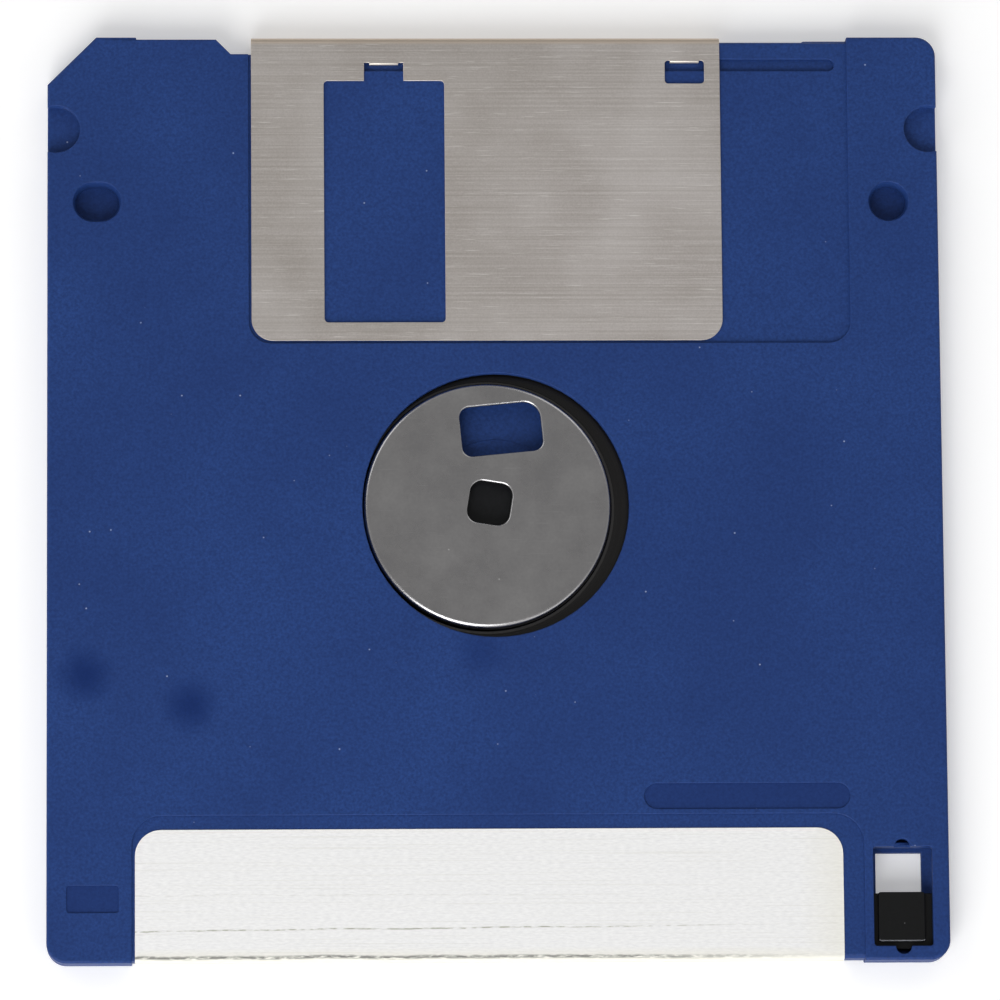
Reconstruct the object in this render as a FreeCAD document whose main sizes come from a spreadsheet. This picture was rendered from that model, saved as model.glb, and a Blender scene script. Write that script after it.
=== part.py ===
import FreeCAD, Part
import math
import os
import re
import Sketcher

# 90 mm floppy disk cartridge: millimetres, lying flat with the hub side up.
# X runs along the front edge, Y towards the shutter end, Z up out of the hub side.
# The origin is the middle of the lower outer face.

SIZES = {
    # Case
    "case_width": "90",
    "case_length": "94",
    "case_thickness": "3.3",
    "plate": "0.95",
    "wall": "1",
    "rib": "0.5",
    "corner_cut": "4.9",
    "corner_radius": "2",
    "edge_round": "0.3",
    "inner_corner_radius": "0.8",
    # Front edge, seen from above
    "front_step_inset": "4.05",
    "front_step_drop": "0.25",
    "lever_notch_reach": "3.55",
    "lever_notch_depth": "1.75",
    "lever_notch_under": "14.45",
    "shutter_edge_drop": "0.5",
    "shutter_rail_length": "4.55",
    "shutter_rail_drop": "0.35",
    "shutter_edge_chamfer": "0.3",
    # Shutter and the recess it slides in
    "shutter_left": "24.45",
    "shutter_travel": "12",
    "shutter_cover": "2.75",
    "shutter_sheet": "0.2",
    "shutter_bend": "0.5",
    "shutter_corner": "2.2",
    "shutter_gap": "0.05",
    "shutter_side_gap": "0.25",
    "shutter_end_room": "0.9",
    "recess_to_locating": "2.25",
    "shutter_window_left_gap": "0.6",
    "shutter_window_right_gap": "2.6",
    "shutter_window_front_gap": "0.78",
    "shutter_window_rear_gap": "0.88",
    "shutter_window_corner": "0.4",
    # Tabs bent into the guide groove and into the spring's slot
    "tab_width": "2.95",
    "tab_length": "0.4",
    "spring_tab_length": "1.25",
    "spring_slot_gap": "0.3",
    "tab_bend_round": "0.16",
    "tab_relief": "0.52",
    "tab_relief_corner": "0.35",
    "tab_relief_length": "2.39",
    "left_tab_place": "13.43",
    "left_tab_front": "2.59",
    "right_tab_place": "3.57",
    "right_tab_front": "2.37",
    "groove_width": "1.19",
    "groove_depth": "0.45",
    "groove_front": "2.26",
    "groove_left": "15",
    "groove_end_room": "0.95",
    # Head window
    "head_window_width": "9",
    "head_window_reach": "19.5",
    "head_window_ring_gap": "1.3",
    "head_window_corner": "0.8",
    # Locating holes
    "locating_inset_x": "5",
    "locating_radius": "1.8",
    "locating_depth": "2",
    "locating_lead_depth": "0.85",
    "locating_lead_angle": "15",
    "locating_boss_wall": "1",
    "locating_slot_length": "4.4",
    "side_recess_inset": "0.9",
    "side_recess_front": "9.5",
    "side_recess_radius": "2.4",
    "side_recess_depth": "1.2",
    "side_recess_wall": "0.8",
    # Disk: hub, film and what joins them
    "hub_hole_drop": "1",
    "hub_to_locating": "31",
    "hub_hole_radius": "13.4",
    "hub_hole_bevel": "0.1",
    "disk_float": "0.85",
    "disk_drop": "0.05",
    "hub_radius": "12.45",
    "hub_sheet": "0.3",
    "hub_bend": "0.5",
    "hub_sink": "0.25",
    "hub_flange_width": "2.55",
    "hub_centre_hole": "4.25",
    "hub_centre_corner": "1.2",
    "hub_centre_offset": "0.26",
    "hub_centre_turn": "9",
    "drive_hole_length": "8.1",
    "drive_hole_width": "5",
    "drive_hole_corner": "1",
    "drive_hole_wide_corner": "1.7",
    "drive_hole_x": "1.45",
    "drive_hole_y": "7.8",
    "drive_hole_turn": "5.5",
    "film_thickness": "0.08",
    "film_side_gap": "0.25",
    "film_hole_gap": "0.4",
    "glue_thickness": "0.08",
    "glue_inset": "0.15",
    # Liners, lifter and wear pad
    "liner_thickness": "0.25",
    "liner_edge_gap": "0.4",
    "liner_hole_radius": "17",
    "rear_liner_hole_radius": "15",
    "liner_window_gap": "0.7",
    "centre_boss_radius": "7",
    "centre_boss_height": "0.1",
    "wear_pad_radius": "4.5",
    "wear_pad_thickness": "0.12",
    "lifter_length": "26",
    "lifter_width": "12",
    "lifter_thickness": "0.15",
    "lifter_corner": "1.5",
    "lifter_pocket_depth": "0.2",
    "lifter_pocket_gap": "0.3",
    "lifter_reach": "29",
    "lifter_angle": "232",
    # Write-protect slider
    "slot_inset_x": "4.65",
    "slot_inset_y": "6.375",
    "slot_width": "5.9",
    "slot_length": "9.95",
    "slot_corner": "0.3",
    "finger_notch_radius": "0.8",
    "slider_flange": "0.35",
    "slider_length": "5.6",
    "slider_end_gap": "0.15",
    "slider_side_gap": "0.1",
    "slider_height_gap": "0.03",
    "slider_travel": "4.45",
    "slider_grip_inset": "0.6",
    "slider_grip_shift": "0.15",
    "slider_grip_rear_gap": "0.5",
    "slider_grip_length": "4.93",
    "slider_grip_sink": "0.35",
    "slider_grip_round": "0.15",
    "protect_hole_shift": "0.25",
    "protect_hole_width": "4.6",
    "protect_hole_length": "4.2",
    # Shallow bare recesses
    "recess_depth": "0.15",
    "pill_length": "20.6",
    "pill_width": "2.57",
    "pill_inset_x": "20.1",
    "pill_above_label": "1.8",
    "plate_recess_length": "5.17",
    "plate_recess_width": "2.7",
    "plate_recess_inset_x": "4.6",
    "plate_recess_inset_y": "6.4",
    "plate_recess_corner": "0.3",
    # Label
    "label_recess_height": "14.7",
    "label_recess_depth": "0.2",
    "label_recess_corner": "3",
    "label_shutter_gap": "7.9",
    "label_edge_round": "0.5",
    "label_paper": "0.1",
    "label_to_slot": "0.9",
    "label_left_margin": "0.3",
    "label_right_margin": "2.1",
    "label_top_margin": "1.42",
    "label_corner": "2.6",
    # Weld posts, measured in from the nearest edges
    "post_radius": "1.2",
    "left_post_x": "7",
    "left_post_y": "13",
    "right_post_x": "3.2",
    "right_post_y": "17",
    "rear_post_x": "11.5",
    "rear_post_y": "4",
    "cut_corner_post_x": "9",
    "cut_corner_post_y": "8.5",
    "spring_post_x": "3",
    "spring_post_y": "5",
    # Shutter spring
    "spring_wire": "0.3",
    "spring_coil_radius": "1.9",
    "spring_depth": "6.97",
    "spring_turns": "2",
    "spring_height_gap": "0.08",
    "spring_tip_gap": "0.1",
    "spring_anchor_inset": "6.2",
    "spring_stop_thickness": "0.6",
    "spring_stop_length": "1.5",
    "spring_stop_root": "0.2",
}

doc = FreeCAD.newDocument("floppy_disk")
sheet = doc.addObject("Spreadsheet::Sheet", "sizes")
for row, (alias, number) in enumerate(SIZES.items(), start=1):
    sheet.set(f"A{row}", alias)
    sheet.set(f"B{row}", number)
    sheet.setAlias(f"B{row}", alias)
doc.recompute()


def bind(text):
    """Expression text with each size's name pointed at the sheet."""
    return re.sub(r"[a-z_]+", lambda word: f"sizes.{word[0]}" if word[0] in SIZES else word[0], text)


def size(text):
    """The value of an expression in the sheet's sizes."""
    return float(sheet.evalExpression(bind(text)))


# Places that several pieces share
HALF_WIDTH = "(case_width / 2)"
HALF_LENGTH = "(case_length / 2)"
PARTING = "(case_thickness / 2)"
CAVITY_HEIGHT = f"({PARTING} - plate)"
CAVITY_ROOF = "(case_thickness - plate)"
GROOVE_BACK = f"({HALF_LENGTH} - groove_front)"
SHUTTER_FRONT = f"({HALF_LENGTH} - shutter_gap)"
SHUTTER_RECESS = "(shutter_sheet + 2 * shutter_gap)"
LOCATING_X = f"({HALF_WIDTH} - locating_inset_x)"
RECESS_RIGHT = f"({LOCATING_X} - locating_radius - recess_to_locating)"
SHUTTER_RIGHT = f"({RECESS_RIGHT} - shutter_end_room - shutter_travel)"
HUB_HOLE_Y = "(0 - hub_hole_drop)"
LOCATING_Y = f"({HUB_HOLE_Y} + hub_to_locating)"
RING_RADIUS = f"min({HALF_WIDTH} - wall; {HALF_LENGTH} - wall + {HUB_HOLE_Y} - rib)"
FILM_RADIUS = f"({RING_RADIUS} - disk_float - film_side_gap)"
FILM_LOW = f"({PARTING} - film_thickness / 2)"
FLANGE_TOP = f"({FILM_LOW} - glue_thickness)"
FLANGE_RADIUS = "(hub_radius + hub_flange_width)"
HEAD_WINDOW_FRONT = f"({HUB_HOLE_Y} + {RING_RADIUS} - head_window_ring_gap)"
HEAD_WINDOW_REAR = f"({HUB_HOLE_Y} + head_window_reach)"
SHUTTER_REAR = f"({HEAD_WINDOW_REAR} - shutter_cover)"
GROOVE_RIGHT = f"({SHUTTER_RIGHT} + shutter_travel - groove_end_room)"
RIGHT_TAB_X = f"({SHUTTER_RIGHT} - right_tab_place)"
ANCHOR_X = f"({HALF_WIDTH} - spring_anchor_inset)"
SLOT_X = f"({HALF_WIDTH} - slot_inset_x)"
SLOT_Y = f"(slot_inset_y - {HALF_LENGTH})"
SLIDER_LOW_Y = f"(wall + slider_end_gap - {HALF_LENGTH})"
LABEL_RECESS_TOP = f"(label_recess_height - {HALF_LENGTH})"
LABEL_FRONT_TOP = f"({SHUTTER_REAR} - shutter_side_gap - label_shutter_gap)"
LABEL_RECESS_SIDE = f"({SLOT_X} - slot_width / 2 - label_to_slot)"
OUTSIDE = "1"


def new_body(name):
    """A piece of the disk, which carries its own name and sits in the shared frame."""
    body = doc.addObject("PartDesign::Body", name)
    body.Label = name
    body.Placement = FreeCAD.Placement()
    return body


def sketch_on(body, name, low="0", centre=("0", "0"), turn="0", plane="XY_Plane"):
    """A sketch on one of the body's origin planes, raised, shifted and turned by sizes."""
    sketch = body.newObject("Sketcher::SketchObject", name)
    support = next(item for item in body.Origin.OriginFeatures if item.Role == plane)
    sketch.AttachmentSupport = [(support, "")]
    sketch.MapMode = "FlatFace"
    for axis, text in zip("xyz", (*centre, low)):
        sketch.setExpression(f".AttachmentOffset.Base.{axis}", bind(text))
    sketch.setExpression(".AttachmentOffset.Rotation.Angle", bind(turn))
    return sketch


def set_size(sketch, kind, where, text):
    """A dimension of the sketch, held to an expression."""
    index = sketch.addConstraint(Sketcher.Constraint(kind, *where, size(text)))
    sketch.setExpression(f"Constraints[{index}]", bind(text))


def pin_point(sketch, geometry, vertex, x, y):
    """Hold a point of the sketch at x, y from the sketch's origin."""
    set_size(sketch, "DistanceX", (-1, 1, geometry, vertex), x)
    set_size(sketch, "DistanceY", (-1, 1, geometry, vertex), y)


def draw_circle(sketch, x, y, radius):
    """A full circle."""
    centre = FreeCAD.Vector(size(x), size(y), 0)
    circle = sketch.addGeometry(Part.Circle(centre, FreeCAD.Vector(0, 0, 1), size(radius)), False)
    pin_point(sketch, circle, 3, x, y)
    set_size(sketch, "Radius", (circle,), radius)


def draw_outline(sketch, corners):
    """A closed outline of straight runs: a corner is x, y and, if it is rounded, a radius."""
    points = [FreeCAD.Vector(size(corner[0]), size(corner[1]), 0) for corner in corners]
    radii = [corner[2] if len(corner) > 2 else None for corner in corners]
    count = len(points)
    ways = [(points[(i + 1) % count] - points[i]).normalize() for i in range(count)]

    def trim(i):
        # Distance from the corner to where its arc starts
        if radii[i] is None:
            return 0
        return size(radii[i]) * math.tan(ways[i - 1].getAngle(ways[i]) / 2)

    starts = [points[i] + ways[i] * trim(i) for i in range(count)]
    ends = [points[i] - ways[i - 1] * trim(i) for i in range(count)]
    lines = []
    for i in range(count):
        run = Part.LineSegment(starts[i], ends[(i + 1) % count])
        lines.append(sketch.addGeometry(run, False))
    for i in range(count):
        before, after = lines[i - 1], lines[i]
        if radii[i] is None:
            sketch.addConstraint(Sketcher.Constraint("Coincident", before, 2, after, 1))
            pin_point(sketch, after, 1, corners[i][0], corners[i][1])
            continue
        turns_left = ways[i - 1].cross(ways[i]).z > 0
        inward = FreeCAD.Vector(-ways[i].y, ways[i].x, 0) * (1 if turns_left else -1)
        radius = size(radii[i])
        centre = starts[i] + inward * radius
        first, last = (ends[i], starts[i]) if turns_left else (starts[i], ends[i])
        angles = [math.atan2((point - centre).y, (point - centre).x) for point in (first, last)]
        circle = Part.Circle(centre, FreeCAD.Vector(0, 0, 1), radius)
        arc = sketch.addGeometry(Part.ArcOfCircle(circle, *angles), False)
        corner = sketch.addGeometry(Part.Point(points[i]), True)
        arc_in, arc_out = (1, 2) if turns_left else (2, 1)
        sketch.addConstraint(Sketcher.Constraint("Tangent", before, 2, arc, arc_in))
        sketch.addConstraint(Sketcher.Constraint("Tangent", arc, arc_out, after, 1))
        sketch.addConstraint(Sketcher.Constraint("PointOnObject", corner, 1, before))
        sketch.addConstraint(Sketcher.Constraint("PointOnObject", corner, 1, after))
        pin_point(sketch, corner, 1, corners[i][0], corners[i][1])
        set_size(sketch, "Radius", (arc,), radii[i])


def draw_box(sketch, left, right, low, high, radius=None):
    """A rectangle, its corners rounded if a radius is given."""
    rounding = () if radius is None else (radius,)
    corners = [(left, low), (right, low), (right, high), (left, high)]
    draw_outline(sketch, [(*corner, *rounding) for corner in corners])


def draw_obround(sketch, left, right, y, radius):
    """Two half circles about points on a level line, joined by straight runs."""
    x1, x2, level, r = size(left), size(right), size(y), size(radius)
    up = FreeCAD.Vector(0, 0, 1)
    top = Part.LineSegment(FreeCAD.Vector(x2, level + r, 0), FreeCAD.Vector(x1, level + r, 0))
    bottom = Part.LineSegment(FreeCAD.Vector(x1, level - r, 0), FreeCAD.Vector(x2, level - r, 0))
    left_circle = Part.Circle(FreeCAD.Vector(x1, level, 0), up, r)
    right_circle = Part.Circle(FreeCAD.Vector(x2, level, 0), up, r)
    quarter = math.pi / 2
    shapes = [
        top,
        Part.ArcOfCircle(left_circle, quarter, 3 * quarter),
        bottom,
        Part.ArcOfCircle(right_circle, -quarter, quarter),
    ]
    parts = [sketch.addGeometry(shape, False) for shape in shapes]
    for i in range(4):
        sketch.addConstraint(Sketcher.Constraint("Tangent", parts[i], 2, parts[(i + 1) % 4], 1))
    for arc, x in ((parts[1], left), (parts[3], right)):
        pin_point(sketch, arc, 3, x, y)
        set_size(sketch, "Radius", (arc,), radius)


def raise_solid(body, sketch, height, name):
    """Pad the sketch away from its plane."""
    pad = body.newObject("PartDesign::Pad", name)
    pad.Profile = sketch
    pad.setExpression("Length", bind(height))
    sketch.Visibility = False
    doc.recompute()
    return pad


def cut(body, sketch, height, name, taper="0"):
    """Cut the sketch out of the body, away from its plane, and see that something went."""
    before = body.Shape.Volume
    pocket = body.newObject("PartDesign::Pocket", name)
    pocket.Profile = sketch
    pocket.Reversed = True
    pocket.setExpression("Length", bind(height))
    pocket.setExpression("TaperAngle", bind(taper))
    sketch.Visibility = False
    doc.recompute()
    if body.Shape.Volume >= before:
        raise RuntimeError(f"{name} cuts nothing")
    return pocket


def dress(body, kind, setting, amount, name, picks):
    """Round or bevel the edges of the body's last feature that picks says yes to."""
    base = body.Tip
    edges = [f"Edge{i}" for i, edge in enumerate(base.Shape.Edges, start=1) if picks(edge)]
    if not edges:
        raise RuntimeError(f"{name} finds no edge")
    feature = body.newObject(kind, name)
    feature.Base = (base, edges)
    feature.setExpression(setting, bind(amount))
    doc.recompute()
    return feature


def round_edges(body, radius, name, picks):
    return dress(body, "PartDesign::Fillet", "Radius", radius, name, picks)


def bevel_edges(body, amount, name, picks):
    return dress(body, "PartDesign::Chamfer", "Size", amount, name, picks)


def lies_at(edge, z):
    """Whether the whole edge lies at one height."""
    box = edge.BoundBox
    return abs(box.ZMin - z) < 1e-4 and abs(box.ZMax - z) < 1e-4


def stands_at(edge, x, y):
    """Whether the edge stands upright over one point."""
    box = edge.BoundBox
    upright = box.XLength < 1e-4 and box.YLength < 1e-4
    return upright and abs(box.XMin - x) < 1e-3 and abs(box.YMin - y) < 1e-3


# Case shells

def case_outline(sketch):
    """The cartridge from above: three round corners and a cut one."""
    draw_outline(sketch, [
        (f"-{HALF_WIDTH}", f"-{HALF_LENGTH}", "corner_radius"),
        (HALF_WIDTH, f"-{HALF_LENGTH}", "corner_radius"),
        (HALF_WIDTH, HALF_LENGTH, "corner_radius"),
        (f"corner_cut - {HALF_WIDTH}", HALF_LENGTH),
        (f"-{HALF_WIDTH}", f"{HALF_LENGTH} - corner_cut"),
    ])


def front_edge_outline(sketch):
    """What is missing at the front edge: the lever notch and the shutter's running edge."""
    step_left = f"corner_cut + front_step_inset - {HALF_WIDTH}"
    step = f"{HALF_LENGTH} - front_step_drop"
    notch = f"{HALF_LENGTH} - lever_notch_depth"
    edge = f"{HALF_LENGTH} - shutter_edge_drop"
    rail = f"{HALF_LENGTH} - shutter_rail_drop"
    notch_run = "(lever_notch_depth - front_step_drop)"
    notch_rise = "(lever_notch_depth - shutter_edge_drop)"
    rail_rise = "(shutter_edge_drop - shutter_rail_drop)"
    end = RECESS_RIGHT
    beyond = f"{HALF_LENGTH} + {OUTSIDE}"
    draw_outline(sketch, [
        (step_left, beyond),
        (step_left, step),
        ("-shutter_left - lever_notch_reach", step),
        (f"{notch_run} - shutter_left - lever_notch_reach", notch),
        ("lever_notch_under - shutter_left", notch),
        (f"{notch_rise} + lever_notch_under - shutter_left", edge),
        (f"{end} - shutter_rail_length", edge),
        (f"{end} - shutter_rail_length + {rail_rise}", rail),
        (end, rail),
        (end, beyond),
    ])


def cavity_outline(sketch):
    """The inside of the side walls."""
    side = f"{HALF_WIDTH} - wall"
    inner_cut = f"({HALF_LENGTH} + {HALF_WIDTH} - corner_cut - wall * sqrt(2))"
    draw_outline(sketch, [
        (f"-({side})", f"wall - {HALF_LENGTH}", "inner_corner_radius"),
        (side, f"wall - {HALF_LENGTH}", "inner_corner_radius"),
        (side, GROOVE_BACK, "inner_corner_radius"),
        (f"{GROOVE_BACK} - {inner_cut}", GROOVE_BACK),
        (f"-({side})", f"{inner_cut} - ({side})"),
    ])


def post_places():
    """Middles of the weld posts in the corners outside the disk's ring."""
    return [
        (f"left_post_x - {HALF_WIDTH}", f"left_post_y - {HALF_LENGTH}"),
        (f"{HALF_WIDTH} - right_post_x", f"right_post_y - {HALF_LENGTH}"),
        (f"{HALF_WIDTH} - rear_post_x", f"rear_post_y - {HALF_LENGTH}"),
        (f"cut_corner_post_x - {HALF_WIDTH}", f"{HALF_LENGTH} - cut_corner_post_y"),
        (f"{HALF_WIDTH} - spring_post_x", f"{HALF_LENGTH} - spring_post_y"),
    ]


def slider_frame(sketch):
    """The ribs round the write-protect slider's run, which join the side and end walls."""
    reach = "(slot_width / 2 + slider_flange + slider_side_gap)"
    end = f"{SLIDER_LOW_Y} + slider_length + slider_travel + slider_end_gap"
    low = f"wall - {HALF_LENGTH}"
    draw_box(sketch, f"{SLOT_X} - {reach}", f"{SLOT_X} + {reach}", low, end)
    left = f"{SLOT_X} - {reach} - rib"
    right = f"{HALF_WIDTH} - wall / 2"
    draw_outline(sketch, [
        (left, f"{low} - wall / 2"),
        (right, f"{low} - wall / 2", "corner_radius - wall / 2"),
        (right, f"{end} + rib"),
        (left, f"{end} + rib"),
    ])


def shell(name, base, cavity, skin, shutter_skin, label_skin, label_top, bend_side):
    """One half of the case: plate, side walls, ribs and the recesses of its outer face."""
    body = new_body(name)
    sketch = sketch_on(body, f"{name}_outline", base)
    case_outline(sketch)
    raise_solid(body, sketch, PARTING, f"{name}_block")
    outer = size(base) if bend_side < 0 else size(f"{base} + {PARTING}")
    round_edges(body, "edge_round", f"{name}_rim", lambda edge: lies_at(edge, outer))

    sketch = sketch_on(body, f"{name}_front_edge", base)
    front_edge_outline(sketch)
    cut(body, sketch, PARTING, f"{name}_lever_notch")

    sketch = sketch_on(body, f"{name}_cavity_outline", cavity)
    cavity_outline(sketch)
    cut(body, sketch, CAVITY_HEIGHT, f"{name}_cavity")

    sketch = sketch_on(body, f"{name}_ring", cavity)
    draw_circle(sketch, "0", HUB_HOLE_Y, RING_RADIUS)
    draw_circle(sketch, "0", HUB_HOLE_Y, f"{RING_RADIUS} + rib")
    raise_solid(body, sketch, CAVITY_HEIGHT, f"{name}_disk_ring")

    sketch = sketch_on(body, f"{name}_posts", cavity)
    for x, y in post_places():
        draw_circle(sketch, x, y, "post_radius")
    raise_solid(body, sketch, CAVITY_HEIGHT, f"{name}_weld_posts")

    sketch = sketch_on(body, f"{name}_slider_frame", cavity)
    slider_frame(sketch)
    raise_solid(body, sketch, CAVITY_HEIGHT, f"{name}_slider_ribs")

    sketch = sketch_on(body, f"{name}_window", skin)
    half = "(head_window_width / 2)"
    draw_box(sketch, f"-{half}", half, HEAD_WINDOW_REAR, HEAD_WINDOW_FRONT, "head_window_corner")
    cut(body, sketch, "plate", f"{name}_head_window")

    sketch = sketch_on(body, f"{name}_shutter_recess_outline", shutter_skin)
    left = "-shutter_left - shutter_side_gap"
    right = RECESS_RIGHT
    rear = f"{SHUTTER_REAR} - shutter_side_gap"
    beyond = f"{HALF_LENGTH} + {OUTSIDE}"
    draw_outline(sketch, [
        (left, rear, "shutter_corner"),
        (right, rear, "shutter_corner"),
        (right, beyond),
        (left, beyond),
    ])
    cut(body, sketch, SHUTTER_RECESS, f"{name}_shutter_recess")

    # The front edge is bevelled where the shutter bends round it
    floor = SHUTTER_RECESS if bend_side < 0 else f"case_thickness - {SHUTTER_RECESS}"
    sketch = sketch_on(body, f"{name}_bend_room_outline", left, plane="YZ_Plane")
    rail = f"{HALF_LENGTH} - shutter_rail_drop"
    drop = f"shutter_edge_chamfer + {OUTSIDE}"
    sloped = f"{floor} + ({drop})" if bend_side < 0 else f"{floor} - ({drop})"
    draw_outline(sketch, [
        (f"{rail} - shutter_edge_chamfer", floor),
        (f"{rail} + {OUTSIDE}", floor),
        (f"{rail} + {OUTSIDE}", sloped),
    ])
    cut(body, sketch, f"{right} - ({left})", f"{name}_bend_room")

    # The label lies in a recess that runs over the rear end
    sketch = sketch_on(body, f"{name}_label_recess_outline", label_skin)
    side = LABEL_RECESS_SIDE
    draw_outline(sketch, [
        (f"-{side}", f"-{HALF_LENGTH} - {OUTSIDE}"),
        (side, f"-{HALF_LENGTH} - {OUTSIDE}"),
        (side, label_top, "label_recess_corner"),
        (f"-{side}", label_top, "label_recess_corner"),
    ])
    cut(body, sketch, "label_recess_depth", f"{name}_label_recess")

    sketch = sketch_on(body, f"{name}_label_fold_outline", f"-{side}", plane="YZ_Plane")
    floor = "label_recess_depth" if bend_side < 0 else "case_thickness - label_recess_depth"
    outer = f"-{OUTSIDE}" if bend_side < 0 else f"case_thickness + {OUTSIDE}"
    end = f"label_recess_depth - {HALF_LENGTH}"
    draw_outline(sketch, [
        (f"{end} + 2 * label_edge_round", outer),
        (f"{end} + 2 * label_edge_round", floor),
        (end, floor, "label_edge_round"),
        (end, PARTING),
        (f"{end} - {OUTSIDE}", PARTING),
        (f"{end} - {OUTSIDE}", outer),
    ])
    cut(body, sketch, f"2 * {side}", f"{name}_label_fold")
    return body


def front_shell():
    """The half with the label's large face: wear boss, lifter pocket, spring slot and protect hole."""
    body = shell("front_shell", "0", "plate", "0", "0", "0", LABEL_FRONT_TOP, -1)

    sketch = sketch_on(body, "centre_boss_outline", "plate")
    draw_circle(sketch, "0", HUB_HOLE_Y, "centre_boss_radius")
    raise_solid(body, sketch, "centre_boss_height", "centre_boss")

    sketch = sketch_on(body, "spring_stop_outline", "plate")
    left = f"{ANCHOR_X} + spring_tip_gap + spring_wire / 2"
    low = f"{GROOVE_BACK} - spring_stop_length"
    high = f"{GROOVE_BACK} + spring_stop_root"
    draw_box(sketch, left, f"{left} + spring_stop_thickness", low, high)
    raise_solid(body, sketch, CAVITY_HEIGHT, "spring_stop")

    # The shutter's spring tab runs in this slot
    sketch = sketch_on(body, "spring_tab_slot_outline", "0")
    reach = "(tab_width / 2 + spring_slot_gap)"
    left = f"{RIGHT_TAB_X} - {reach}"
    right = f"{RIGHT_TAB_X} + shutter_travel + {reach}"
    draw_box(sketch, left, right, f"{GROOVE_BACK} - groove_width", GROOVE_BACK)
    cut(body, sketch, "plate", "spring_tab_slot")

    place = lifter_place()
    sketch = sketch_on(body, "lifter_pocket_outline", "plate - lifter_pocket_depth", *place)
    reach = "(lifter_length / 2 + lifter_pocket_gap)"
    side = "(lifter_width / 2 + lifter_pocket_gap)"
    draw_box(sketch, f"-{reach}", reach, f"-{side}", side, "lifter_corner")
    cut(body, sketch, "lifter_pocket_depth", "lifter_pocket")

    sketch = sketch_on(body, "protect_hole_outline", "0")
    half = "protect_hole_width / 2"
    middle = f"({SLOT_X} - protect_hole_shift)"
    low = f"{SLIDER_LOW_Y} + slider_length"
    draw_box(sketch, f"{middle} - {half}", f"{middle} + {half}", low, f"{low} + protect_hole_length")
    cut(body, sketch, "plate", "protect_hole")


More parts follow.
